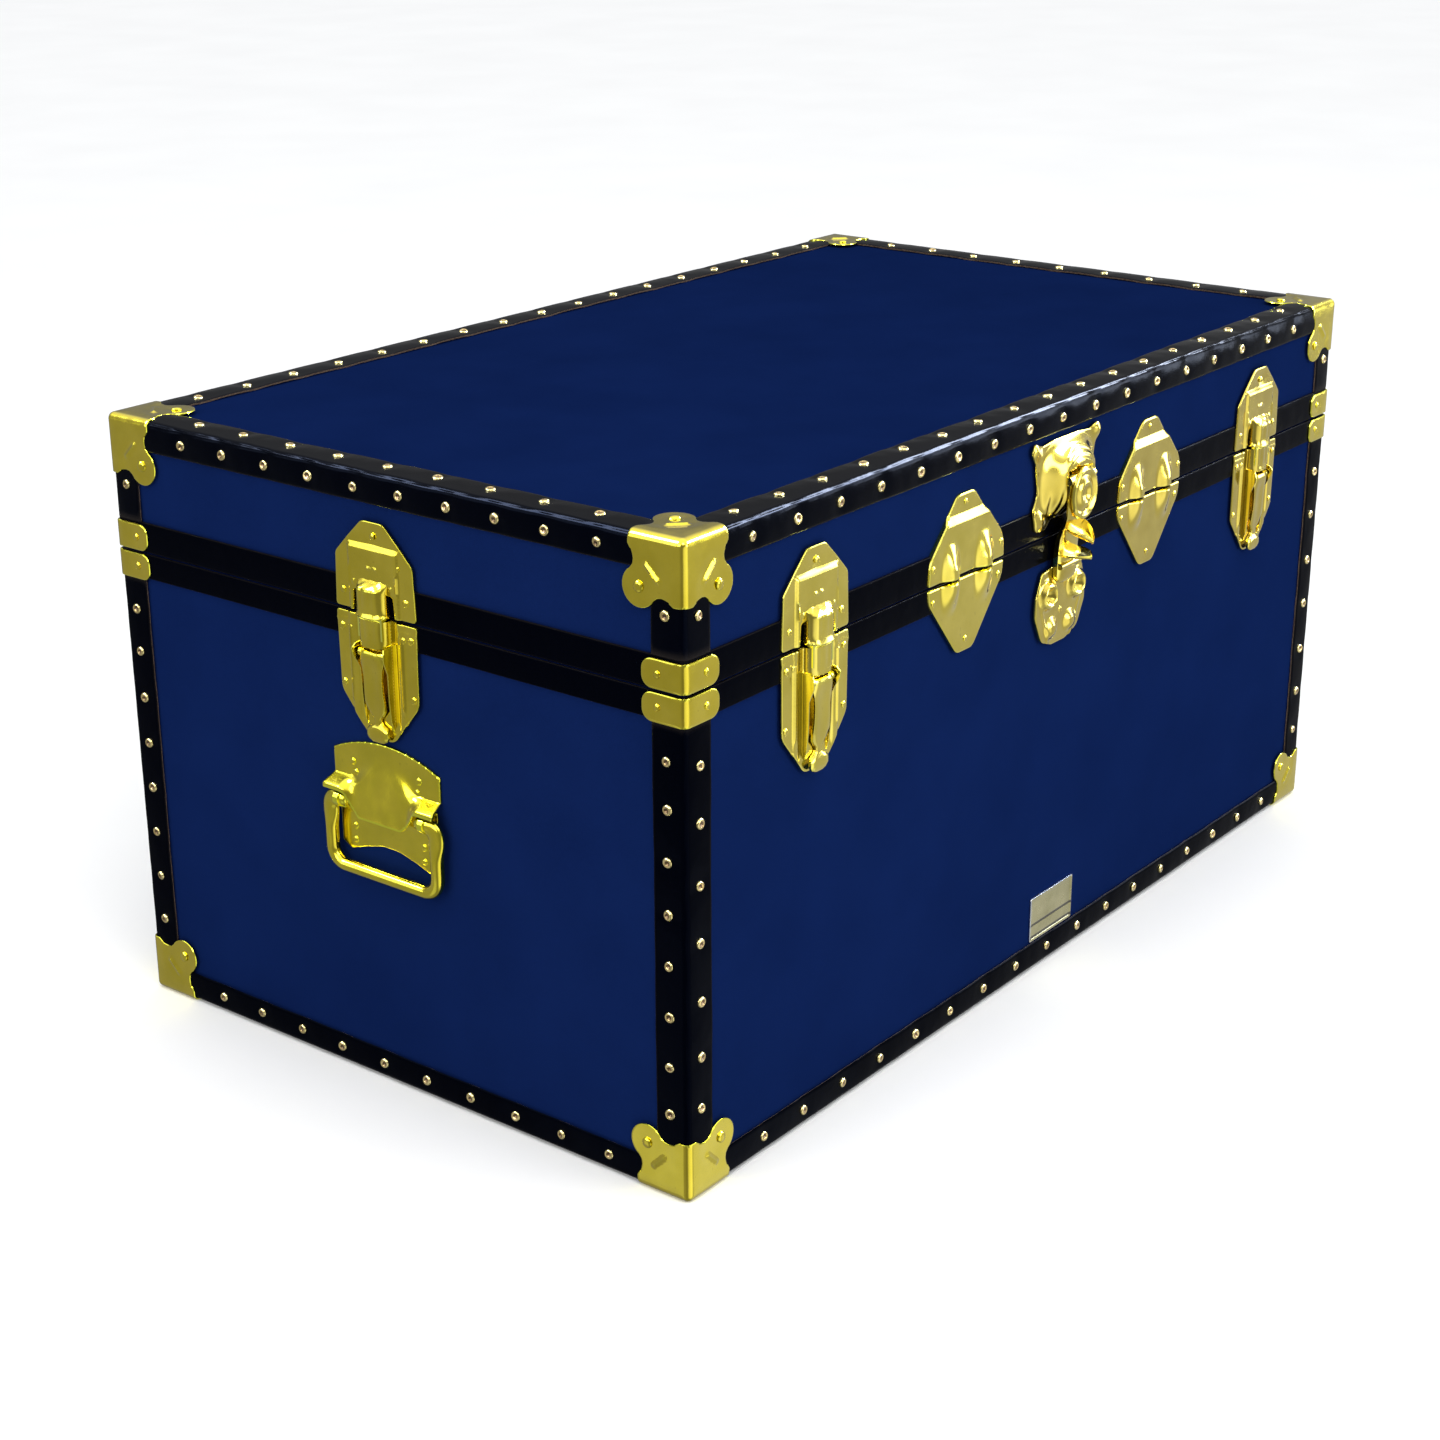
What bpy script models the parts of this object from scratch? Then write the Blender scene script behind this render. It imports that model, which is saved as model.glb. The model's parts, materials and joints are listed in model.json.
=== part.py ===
"""Steamer trunk: a boarded base and a hinged lid, bound with fibre and brassed hardware.

Metres, +Z up, +X to the right along the front, and the front (lock side) faces -Y.
The origin is the middle of the footprint, hardware included, and Z is 0 under the bottom
corner brackets. An empty carries every piece, so that the box can be laid out about its own
middle: the lock stands further out at the front than the hinges do at the back.
Hardware is modelled as it lies on the front: local -Y points out of the face, and local
Y is 0 at the outer level of the binding, so a piece lies on any face by one rotation.
"""

import math

import bmesh
import bpy
from mathutils import Matrix, Vector

MM = 0.001

# Driving dimensions
LENGTH = 914 * MM
WIDTH = 535.4 * MM
BODY_HEIGHT = 463 * MM
SEAM_HEIGHT = 362.2 * MM
SEAM_GAP = 1.5 * MM
BOARD = 8 * MM
FIBRE = 2 * MM
SHEET = 1 * MM
PLATE = 1.2 * MM
GAP = 0.3 * MM

BINDING_LEG = 27 * MM
TOP_LEG_HEIGHT = 22.5 * MM
BOTTOM_LEG_HEIGHT = 23 * MM
LID_BAND = 22.5 * MM
BASE_BAND = 19 * MM
EDGE_RADIUS = 4 * MM

BRACKET_LEG = 43.5 * MM
CLAMP_LEG = 35 * MM
CLAMP_HEIGHT = 20 * MM

FRONT_CATCHES = 319 * MM
DOWELS = 134 * MM
HINGES = 290 * MM
HANDLE_AXIS = 220.5 * MM
LABEL_OFFSET = 13.5 * MM
LABEL_HEIGHT = 44.3 * MM

# How far a cutter runs past what it cuts, for pieces of every size
PAST = 10 * MM
FAR = 100 * MM

# Levels worked out from them
STAND = SHEET + GAP
BOTTOM = STAND
TOP = BOTTOM + BODY_HEIGHT
SEAM = BOTTOM + SEAM_HEIGHT
BASE_TOP = SEAM - SEAM_GAP / 2
LID_BOTTOM = SEAM + SEAM_GAP / 2
HALF_LENGTH = LENGTH / 2
HALF_WIDTH = WIDTH / 2
BOARD_INSET = FIBRE + GAP
HINGE_OUT = 4.5 * MM

BLUE = ("blue_covering", (0.008, 0.016, 0.080), 0.45, 0.0)
BLACK = ("black_fibre", (0.006, 0.006, 0.008), 0.35, 0.0)
BRASS = ("brassed_steel", (0.62, 0.50, 0.16), 0.28, 1.0)
GOLD = ("label_gold", (0.70, 0.60, 0.38), 0.40, 1.0)


# Scene and material helpers


def clear_scene():
    for thing in list(bpy.data.objects):
        bpy.data.objects.remove(thing)


def collection(name):
    made = bpy.data.collections.new(name)
    bpy.context.scene.collection.children.link(made)
    return made


def material(spec, node):
    name, colour, roughness, metallic = spec
    made = bpy.data.materials.new(f"{name}_{node}")
    made.use_nodes = True
    shader = made.node_tree.nodes["Principled BSDF"]
    shader.inputs["Base Color"].default_value = (*colour, 1)
    shader.inputs["Roughness"].default_value = roughness
    shader.inputs["Metallic"].default_value = metallic
    made.diffuse_color = (*colour, 1)
    return made


def part(name, mesh, spec, matrix=None):
    """One named piece of the trunk, with its own material, placed by its matrix."""
    mesh = mesh.copy()
    mesh.name = name
    mesh.materials.clear()
    mesh.materials.append(material(spec, name))
    mesh.shade_smooth()
    mesh.set_sharp_from_angle(angle=math.radians(35))
    made = bpy.data.objects.new(name, mesh)
    PARTS.objects.link(made)
    made.parent = TRUNK
    made.matrix_local = matrix or Matrix()
    return made


# Mesh helpers: each returns a mesh in local coordinates


def baked(thing):
    """The evaluated mesh of a temporary object, which is then removed."""
    bpy.context.view_layer.update()
    graph = bpy.context.evaluated_depsgraph_get()
    mesh = bpy.data.meshes.new_from_object(thing.evaluated_get(graph))
    bpy.data.objects.remove(thing)
    return mesh


def from_bmesh(bm):
    mesh = bpy.data.meshes.new("shape")
    bmesh.ops.recalc_face_normals(bm, faces=bm.faces)
    bm.to_mesh(mesh)
    bm.free()
    return mesh


def box(low, high, rounding=0.0):
    """A box between two corners, with all its edges rounded where that is asked."""
    low, high = Vector(low), Vector(high)
    size = high - low
    bm = bmesh.new()
    bmesh.ops.create_cube(bm, size=1)
    bmesh.ops.scale(bm, vec=size, verts=bm.verts)
    bmesh.ops.translate(bm, vec=(low + high) / 2, verts=bm.verts)
    if rounding:
        bmesh.ops.bevel(bm, geom=bm.edges, offset=rounding, segments=2, profile=0.5, affect="EDGES")
    return from_bmesh(bm)


def rod(start, end, radius, sides=16):
    """A cylinder from one point to another."""
    start, end = Vector(start), Vector(end)
    run = end - start
    turn = run.to_track_quat("Z", "Y").to_matrix().to_4x4()
    bm = bmesh.new()
    bmesh.ops.create_cone(
        bm, cap_ends=True, segments=sides, radius1=radius, radius2=radius, depth=run.length
    )
    bmesh.ops.transform(bm, matrix=Matrix.Translation((start + end) / 2) @ turn, verts=bm.verts)
    return from_bmesh(bm)


def bulge(centre, radii, around=16, along=10):
    """An ellipsoid."""
    bm = bmesh.new()
    bmesh.ops.create_uvsphere(bm, u_segments=around, v_segments=along, radius=1)
    bmesh.ops.scale(bm, vec=radii, verts=bm.verts)
    bmesh.ops.translate(bm, vec=centre, verts=bm.verts)
    return from_bmesh(bm)


def arc(centre, radius, start, end, steps):
    """Points of an arc in the plane, between two angles in degrees."""
    angles = [math.radians(start + (end - start) * i / steps) for i in range(steps + 1)]
    return [(centre[0] + radius * math.cos(a), centre[1] + radius * math.sin(a)) for a in angles]


def rounded(corners, steps=3):
    """An outline through (x, z, radius) corners, each turned by an arc of its radius."""
    points = []
    for i, (x, z, radius) in enumerate(corners):
        here = Vector((x, z))
        back = Vector(corners[i - 1][:2]) - here
        ahead = Vector(corners[(i + 1) % len(corners)][:2]) - here
        if radius <= 0:
            points.append((x, z))
            continue
        half = back.angle(ahead) / 2
        reach = min(radius / math.tan(half), 0.48 * back.length, 0.48 * ahead.length)
        start, end = here + back.normalized() * reach, here + ahead.normalized() * reach
        for j in range(steps + 1):
            t = j / steps
            point = start * (1 - t) ** 2 + here * 2 * t * (1 - t) + end * t**2
            points.append(tuple(point))
    return points


def mirrored(right_half):
    """A whole outline from the corners of its right half, listed from top to bottom."""
    left_half = [(-x, z, radius) for x, z, radius in reversed(right_half)]
    return right_half + left_half


def flat_curve(points, thickness):
    """A filled flat outline as a 2D curve object, extruded half its thickness each way."""
    curve = bpy.data.curves.new("outline", "CURVE")
    curve.dimensions = "2D"
    curve.fill_mode = "BOTH"
    curve.extrude = thickness / 2
    spline = curve.splines.new("POLY")
    spline.points.add(len(points) - 1)
    for point, (x, y) in zip(spline.points, points):
        point.co = (x, y, 0, 1)
    spline.use_cyclic_u = True
    made = bpy.data.objects.new("outline", curve)
    bpy.context.scene.collection.objects.link(made)
    return made


def welded(mesh, distance=1e-6):
    bm = bmesh.new()
    bm.from_mesh(mesh)
    bmesh.ops.remove_doubles(bm, verts=bm.verts, dist=distance)
    bm.to_mesh(mesh)
    bm.free()
    return mesh


def plate(points, level, thickness):
    """A flat plate of that outline in X and Z, whose back lies at that level off the face."""
    mesh = welded(baked(flat_curve(points, thickness)))
    stand_up = Matrix.Rotation(math.radians(90), 4, "X")
    mesh.transform(Matrix.Translation((0, -level - thickness / 2, 0)) @ stand_up)
    return mesh


def bar(profile, left, right):
    """A straight bar along X, from a profile of (out, z) points."""
    mesh = welded(baked(flat_curve(profile, right - left)))
    # the curve's X becomes outward (-Y), its Y becomes Z, and its thickness runs along X
    turn = Matrix(((0, 0, 1, 0), (-1, 0, 0, 0), (0, 1, 0, 0), (0, 0, 0, 1)))
    mesh.transform(Matrix.Translation(((left + right) / 2, 0, 0)) @ turn)
    return from_mesh_outward(mesh)


def from_mesh_outward(mesh):
    bm = bmesh.new()
    bm.from_mesh(mesh)
    bmesh.ops.recalc_face_normals(bm, faces=bm.faces)
    bm.to_mesh(mesh)
    bm.free()
    return mesh


def carve(start, joins=(), cuts=()):
    """A mesh joined with some meshes, then cut by others."""
    base = bpy.data.objects.new("blank", start)
    bpy.context.scene.collection.objects.link(base)
    tools = []
    for operation, meshes in (("UNION", joins), ("DIFFERENCE", cuts)):
        for mesh in meshes:
            tool = bpy.data.objects.new("cutter", mesh)
            tool.hide_render = True
            tool.display_type = "WIRE"
            CUTTERS.objects.link(tool)
            tools.append(tool)
            modifier = base.modifiers.new("Boolean", "BOOLEAN")
            modifier.operation = operation
            modifier.solver = "EXACT"
            modifier.object = tool
    mesh = baked(base)
    for tool in tools:
        bpy.data.objects.remove(tool)
    return welded(mesh)


def shell(outline_faces, thickness, radius):
    """A folded sheet: flat outlines joined at their folds, with rounded folds and a thickness.

    Each entry is (outline, matrix). The outlines lie on the outer surface.
    """
    bm = bmesh.new()
    for points, matrix in outline_faces:
        flat = baked(flat_curve(points, 0))
        flat.transform(matrix)
        bm.from_mesh(flat)
    bmesh.ops.remove_doubles(bm, verts=bm.verts, dist=1e-6)
    bmesh.ops.dissolve_limit(bm, angle_limit=math.radians(1), verts=bm.verts, edges=bm.edges)
    bmesh.ops.recalc_face_normals(bm, faces=bm.faces)
    mesh = bpy.data.meshes.new("sheet")
    bm.to_mesh(mesh)
    bm.free()
    sheet = bpy.data.objects.new("sheet", mesh)
    bpy.context.scene.collection.objects.link(sheet)
    fold = sheet.modifiers.new("Folds", "BEVEL")
    fold.width = radius
    fold.segments = 2
    fold.limit_method = "ANGLE"
    fold.angle_limit = math.radians(40)
    thick = sheet.modifiers.new("Thickness", "SOLIDIFY")
    thick.thickness = thickness
    thick.offset = 0
    thick.use_even_offset = True
    return from_mesh_outward(welded(baked(sheet)))


# Where things lie


def on_face(face, along=0.0, height=0.0):
    """Places hardware on a face: along it to the right as seen from outside, and up."""
    turn, reach = {
        "front": (0, HALF_WIDTH),
        "right": (90, HALF_LENGTH),
        "back": (180, HALF_WIDTH),
        "left": (-90, HALF_LENGTH),
    }[face]
    spin = Matrix.Rotation(math.radians(turn), 4, "Z")
    return spin @ Matrix.Translation((along, -reach, height))


# Boxes


def base_boards():
    x, y = HALF_LENGTH - BOARD_INSET, HALF_WIDTH - BOARD_INSET
    floor_low = BOTTOM + BOARD_INSET
    floor_top = floor_low + BOARD
    wall_low = floor_top + GAP
    part("base_floor", box((-x, -y, floor_low), (x, y, floor_top)), BLUE)
    part("base_front", box((-x, -y, wall_low), (x, -y + BOARD, BASE_TOP)), BLUE)
    part("base_back", box((-x, y - BOARD, wall_low), (x, y, BASE_TOP)), BLUE)
    inner = y - BOARD - GAP
    part("base_left", box((-x, -inner, wall_low), (-x + BOARD, inner, BASE_TOP)), BLUE)
    part("base_right", box((x - BOARD, -inner, wall_low), (x, inner, BASE_TOP)), BLUE)


def lid_boards():
    x, y = HALF_LENGTH - BOARD_INSET, HALF_WIDTH - BOARD_INSET
    top_high = TOP - BOARD_INSET
    top_low = top_high - BOARD
    part("lid_top", box((-x, -y, top_low), (x, y, top_high)), BLUE)
    rim_high = top_low - GAP
    outer = box((-x, -y, LID_BOTTOM), (x, y, rim_high))
    hollow = box(
        (-x + BOARD, -y + BOARD, LID_BOTTOM - PAST),
        (x - BOARD, y - BOARD, rim_high + PAST),
    )
    part("lid_rim", carve(outer, cuts=[hollow]), BLUE)


# Binding


def edge_frame(low, high, window_low, window_high, closed_end):
    """Binding along the edges of an open box: its faces are cut away but for the legs.

    low and high bound the piece, window_low and window_high the openings of its upright
    faces, and closed_end (-1 floor, 1 top) says which flat face it keeps.
    """
    x, y = HALF_LENGTH, HALF_WIDTH
    outer_low = low if closed_end < 0 else low - PAST
    outer_high = high if closed_end > 0 else high + PAST
    outer = box((-x, -y, outer_low), (x, y, outer_high), EDGE_RADIUS)
    inner_low = low + FIBRE if closed_end < 0 else low - 2 * PAST
    inner_high = high - FIBRE if closed_end > 0 else high + 2 * PAST
    inner = box((-x + FIBRE, -y + FIBRE, inner_low), (x - FIBRE, y - FIBRE, inner_high))
    wx, wy = x - BINDING_LEG, y - BINDING_LEG
    cuts = [
        inner,
        box((-wx, -wy, low - PAST), (wx, wy, high + PAST)),
        box((-x - PAST, -wy, window_low), (x + PAST, wy, window_high)),
        box((-wx, -y - PAST, window_low), (wx, y + PAST, window_high)),
    ]
    trimmed = [high, high + 3 * PAST] if closed_end < 0 else [low - 3 * PAST, low]
    cuts.append(box((-x - PAST, -y - PAST, trimmed[0]), (x + PAST, y + PAST, trimmed[1])))
    return carve(outer, cuts=cuts)


def binding():
    base_high = BASE_TOP - BASE_BAND - GAP
    base = edge_frame(BOTTOM, base_high, BOTTOM + BOTTOM_LEG_HEIGHT, base_high + PAST / 2, -1)
    part("base_edge_binding", base, BLACK)
    lid_low = LID_BOTTOM + LID_BAND + GAP
    lid = edge_frame(lid_low, TOP, lid_low - PAST / 2, TOP - TOP_LEG_HEIGHT, 1)
    part("lid_edge_binding", lid, BLACK)


def band(low, high):
    """A closure band: a ring with rounded upright corners."""
    x, y = HALF_LENGTH, HALF_WIDTH
    corners = [(x, y), (-x, y), (-x, -y), (x, -y)]
    points = rounded([(px, py, EDGE_RADIUS) for px, py in corners], steps=2)
    ring = welded(baked(flat_curve(points, high - low)))
    ring.transform(Matrix.Translation((0, 0, (low + high) / 2)))
    inner = box((-x + FIBRE, -y + FIBRE, low - PAST), (x - FIBRE, y - FIBRE, high + PAST))
    return carve(ring, cuts=[inner])


def closure_bands():
    part("base_closure_band", band(BASE_TOP - BASE_BAND, BASE_TOP), BLACK)
    part("lid_closure_band", band(LID_BOTTOM, LID_BOTTOM + LID_BAND), BLACK)


# Corner brackets and seam clamps


def bracket_outline():
    """One face of a corner bracket: square at the corner, with a lobe along the diagonal."""
    leg, lobe, lobe_radius = BRACKET_LEG, 36 * MM, 13.5 * MM
    nib = rounded([(leg, 0, 0), (leg, 9 * MM, 3 * MM), (39 * MM, 13 * MM, 4 * MM)])[:-1]
    lobe_arc = arc((lobe, lobe), lobe_radius, -52, 142, 8)
    other_nib = [(y, x) for x, y in reversed(nib)]
    return [(0, 0), *nib, *lobe_arc, *other_nib]


def bracket_mesh():
    """The bracket of the front left top corner, with its outer corner at the origin."""
    outline = bracket_outline()
    # columns: where the outline's two axes and its normal point
    front = Matrix(((1, 0, 0, 0), (0, 0, 1, 0), (0, -1, 0, 0), (0, 0, 0, 1)))
    left = Matrix(((0, 0, 1, 0), (1, 0, 0, 0), (0, -1, 0, 0), (0, 0, 0, 1)))
    top = Matrix(((1, 0, 0, 0), (0, 1, 0, 0), (0, 0, 1, 0), (0, 0, 0, 1)))
    mesh = shell([(outline, front), (outline, left), (outline, top)], SHEET, EDGE_RADIUS)
    half = SHEET / 2
    mesh.transform(Matrix.Translation((half, half, -half)))
    return mesh


CORNERS = {"front_left": 0, "front_right": 90, "back_right": 180, "back_left": 270}


def corner_place(turn, out, height):
    """Turns a front left piece to a corner, whose metal stands that far out of the binding."""
    swapped = turn % 180 == 90
    x, y = (HALF_WIDTH, HALF_LENGTH) if swapped else (HALF_LENGTH, HALF_WIDTH)
    spin = Matrix.Rotation(math.radians(turn), 4, "Z")
    return spin @ Matrix.Translation((-x - out, -y - out, height))


def corner_brackets():
    mesh = bracket_mesh()
    flipped = mesh.copy()
    # turned over about the corner's diagonal, so the flat top face becomes the bottom
    flipped.transform(Matrix.Rotation(math.radians(180), 4, Vector((1, 1, 0))))
    for corner, turn in CORNERS.items():
        part(f"lid_bracket_{corner}", mesh, BRASS, corner_place(turn, STAND, TOP + STAND))
        part(f"base_bracket_{corner}", flipped, BRASS, corner_place(turn, STAND, 0))


def clamp_mesh():
    """A seam clamp round the front left upright corner, centred on its height."""
    half = CLAMP_HEIGHT / 2
    outline = [(0, -half), *rounded_strip(CLAMP_LEG, half, 8 * MM), (0, half)]
    front = Matrix(((1, 0, 0, 0), (0, 0, 1, 0), (0, 1, 0, 0), (0, 0, 0, 1)))
    left = Matrix(((0, 0, 1, 0), (1, 0, 0, 0), (0, 1, 0, 0), (0, 0, 0, 1)))
    mesh = shell([(outline, front), (outline, left)], SHEET, EDGE_RADIUS)
    mesh.transform(Matrix.Translation((SHEET / 2, SHEET / 2, 0)))
    return mesh


def rounded_strip(reach, half, radius):
    lower = arc((reach - radius, -half + radius), radius, -90, 0, 4)
    upper = arc((reach - radius, half - radius), radius, 0, 90, 4)
    return [*lower, *upper]


def seam_clamps():
    mesh = clamp_mesh()
    lid_height = LID_BOTTOM + 0.5 * MM + CLAMP_HEIGHT / 2
    base_height = BASE_TOP - 0.5 * MM - CLAMP_HEIGHT / 2
    for corner, turn in CORNERS.items():
        part(f"lid_clamp_{corner}", mesh, BRASS, corner_place(turn, STAND, lid_height))
        part(f"base_clamp_{corner}", mesh, BRASS, corner_place(turn, STAND, base_height))


# Catches. Heights are from the seam.

CATCH_WIDTH = 27 * MM
CATCH_OUT = 10.5 * MM
LEVER_AXIS = -26.5 * MM
LEVER_AXIS_OUT = 5.6 * MM
LEVER_HUB = 3.2 * MM
PIN = 1.5 * MM
PIN_BORE = 1.8 * MM
BOLT_TOP = 6.5 * MM
BOLT_BOTTOM = -15 * MM


def hood(low, high, slope_high):
    """A closed raised box on a plate, sloping back to the plate at its top."""
    wall = 1.3 * MM
    half = CATCH_WIDTH / 2
    back = GAP + 0.5 * MM
    profile = [(back, low), (CATCH_OUT, low), (CATCH_OUT, high), (back, slope_high)]
    inner_back = GAP + PLATE + 0.1 * MM
    inner_profile = [
        (inner_back, low - PAST),
        (CATCH_OUT - wall, low - PAST),
        (CATCH_OUT - wall, high - wall),
        (inner_back, high - wall),
    ]
    return bar(profile, -half, half), bar(inner_profile, -half + wall, half - wall)


def strike_mesh():
    corners = [
        (11 * MM, 65 * MM, 7 * MM),
        (36 * MM, 40 * MM, 7 * MM),
        (38 * MM, 1.2 * MM, 3 * MM),
    ]
    body = plate(rounded(mirrored(corners)), GAP, PLATE)
    raised, hollow = hood(1.2 * MM, 20.5 * MM, 27 * MM)
    return carve(body, joins=[raised], cuts=[hollow])


def catch_plate_mesh():
    """The lower plate, with the bolt's guide and two ears for the lever's hub."""
    corners = [
        (38 * MM, -1.4 * MM, 2.5 * MM),
        (37 * MM, -60 * MM, 10 * MM),
        (12 * MM, -90 * MM, 9 * MM),
    ]
    body = plate(rounded(mirrored(corners)), GAP, PLATE)
    guide_low = LEVER_AXIS + 5.5 * MM
    wall = 1.3 * MM
    half = CATCH_WIDTH / 2
    guide = box((-half, -CATCH_OUT + MM, guide_low), (half, -GAP - 0.5 * MM, -1.4 * MM))
    channel = box(
        (-half + wall, -CATCH_OUT + MM + wall, guide_low - MM),
        (half - wall, -GAP - PLATE - 0.1 * MM, PAST),
    )
    ears = [ear_mesh(side) for side in (-1, 1)]
    bore = rod((-FAR, -LEVER_AXIS_OUT, LEVER_AXIS), (FAR, -LEVER_AXIS_OUT, LEVER_AXIS), PIN_BORE, 12)
    return carve(body, joins=[guide, *ears], cuts=[channel, bore])


def ear_mesh(side):
    half = CATCH_WIDTH / 2
    near, far = half - 1.25 * MM, half - 0.2 * MM
    left, right = (near, far) if side > 0 else (-far, -near)
    profile = [
        (GAP + 0.5 * MM, LEVER_AXIS - 4.5 * MM),
        (8 * MM, LEVER_AXIS - 4 * MM),
        (9.2 * MM, LEVER_AXIS),
        (9.2 * MM, LEVER_AXIS + 7 * MM),
        (GAP + 0.5 * MM, LEVER_AXIS + 7 * MM),
    ]
    return bar(profile, left, right)


def lever_mesh():
    """The lever, with its hub on the local origin's X axis, hanging down."""
    half = CATCH_WIDTH / 2 - 2 * MM
    pin_half = CATCH_WIDTH / 2 - 0.2 * MM
    hub = rod((-half, 0, 0), (half, 0, 0), LEVER_HUB, 16)
    pin = rod((-pin_half, 0, 0), (pin_half, 0, 0), PIN, 12)
    out = CATCH_OUT - LEVER_AXIS_OUT
    arm_profile = [
        (0, 2 * MM),
        (out - 1.5 * MM, 0),
        (out, -3 * MM),
        (out - 0.5 * MM, -24 * MM),
        (out - 3 * MM, -42 * MM),
        (out + 2 * MM, -57 * MM),
        (out + 0.5 * MM, -58.5 * MM),
        (out - 5 * MM, -43 * MM),
        (out - 2.2 * MM, -24 * MM),
        (out - 1.8 * MM, -3.5 * MM),
        (0, -1.5 * MM),
    ]
    arm = bar(arm_profile, -half, half)
    taper = [
        (half + MM, -22 * MM),
        (9.5 * MM, -46 * MM),
        (9.5 * MM, -70 * MM),
        (half + 6 * MM, -70 * MM),
        (half + 6 * MM, -22 * MM),
    ]
    other_taper = [(-x, z) for x, z in reversed(taper)]
    cuts = [plate(points, -FAR, 2 * FAR) for points in (taper, other_taper)]
    arm = carve(arm, cuts=cuts)
    return carve(hub, joins=[arm, pin])


def bolt_mesh():
    half = CATCH_WIDTH / 2 - 2 * MM
    return box((-half, -7.6 * MM, BOLT_BOTTOM), (half, -3 * MM, BOLT_TOP))


CATCHES = {
    "front_left": ("front", -FRONT_CATCHES),
    "front_right": ("front", FRONT_CATCHES),
    "left_end": ("left", 0.0),
    "right_end": ("right", 0.0),
}


def catches():
    strike, lower, lever, bolt = strike_mesh(), catch_plate_mesh(), lever_mesh(), bolt_mesh()
    axis = Matrix.Translation((0, -LEVER_AXIS_OUT, LEVER_AXIS))
    for name, (face, along) in CATCHES.items():
        place = on_face(face, along, SEAM)
        part(f"catch_{name}_strike", strike, BRASS, place)
        part(f"catch_{name}_plate", lower, BRASS, place)
        part(f"catch_{name}_lever", lever, BRASS, place @ axis)
        part(f"catch_{name}_bolt", bolt, BRASS, place)


# Locating plates


def dowel_meshes():
    """The lid half with its two pockets, and the base half with its two tongues."""
    offset, width, height = 22 * MM, 12 * MM, 28 * MM
    swell = 5.2 * MM
    up = [(11.5 * MM, 59 * MM, 9 * MM), (48 * MM, 18 * MM, 9 * MM), (49.5 * MM, 1.2 * MM, 2 * MM)]
    down = [(49.5 * MM, -1.4 * MM, 2 * MM), (47.5 * MM, -12 * MM, 8 * MM), (12 * MM, -57 * MM, 9 * MM)]
    level = GAP + PLATE / 2
    bulges = [bulge((s * offset, -level, 0), (width, swell, height)) for s in (-1, 1)]
    behind = box((-FAR, -level, -FAR), (FAR, FAR, FAR))
    below = box((-FAR, -FAR, -FAR), (FAR, FAR, 1.2 * MM))
    above = box((-FAR, -FAR, -1.4 * MM), (FAR, FAR, FAR))
    pockets = [
        box(
            (s * offset - 5.5 * MM, -4 * MM, -PAST),
            (s * offset + 5.5 * MM, -1.7 * MM, 10 * MM),
        )
        for s in (-1, 1)
    ]
    tongues = [
        box((s * offset - 4.5 * MM, -3.5 * MM, -8 * MM), (s * offset + 4.5 * MM, -2.3 * MM, 8.5 * MM))
        for s in (-1, 1)
    ]
    uppers = [carve(b.copy(), cuts=[behind.copy(), below.copy()]) for b in bulges]
    lowers = [carve(b.copy(), cuts=[behind.copy(), above.copy()]) for b in bulges]
    lid = carve(plate(rounded(mirrored(up)), GAP, PLATE), joins=uppers, cuts=pockets)
    base = carve(plate(rounded(mirrored(down)), GAP, PLATE), joins=lowers + tongues)
    return lid, base


def dowels():
    lid, base = dowel_meshes()
    for side, along in (("left", -DOWELS), ("right", DOWELS)):
        place = on_face("front", along, SEAM)
        part(f"dowel_{side}_lid_plate", lid, BRASS, place)
        part(f"dowel_{side}_base_plate", base, BRASS, place)


# Lock. Heights are from the seam.

HASP_AXIS = 44 * MM
HASP_AXIS_OUT = 14.5 * MM
PULL_OUT = 11 * MM


def lock_lid_mesh():
    """The lid plate with two ears at its top and a domed housing for the hasp's hinge."""
    corners = [
        (30 * MM, 71 * MM, 8 * MM),
        (48 * MM, 76 * MM, 3 * MM),
        (50 * MM, 68 * MM, 4 * MM),
        (41 * MM, 60 * MM, 8 * MM),
        (38 * MM, 34 * MM, 8 * MM),
        (45 * MM, 24 * MM, 5 * MM),
        (42 * MM, 8 * MM, 6 * MM),
        (24 * MM, 8 * MM, 6 * MM),
        (19 * MM, 14 * MM, 2 * MM),
    ]
    body = plate(rounded(mirrored(corners)), GAP, PLATE)
    dome = bulge((0, -GAP - PLATE / 2, 46 * MM), (31 * MM, 15 * MM, 25 * MM), 20, 12)
    dome = carve(dome, cuts=[box((-FAR, -GAP - PLATE / 2, -FAR), (FAR, FAR, 2 * FAR))])
    slot = box((-20 * MM, -3 * PAST, 12 * MM), (20 * MM, -8 * MM, 52 * MM))
    cheek = rounded([
        (4 * MM, 33 * MM, 2 * MM),
        (18 * MM, 37 * MM, 4 * MM),
        (18 * MM, 51 * MM, 4 * MM),
        (4 * MM, 58 * MM, 2 * MM),
    ])
    cheeks = [bar(cheek, left, left + 3 * MM) for left in (-23 * MM, 20 * MM)]
    bore = rod((-FAR, -HASP_AXIS_OUT, HASP_AXIS), (FAR, -HASP_AXIS_OUT, HASP_AXIS), PIN_BORE, 12)
    body = carve(body, joins=[dome], cuts=[slot])
    return carve(body, joins=cheeks, cuts=[bore])


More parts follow.
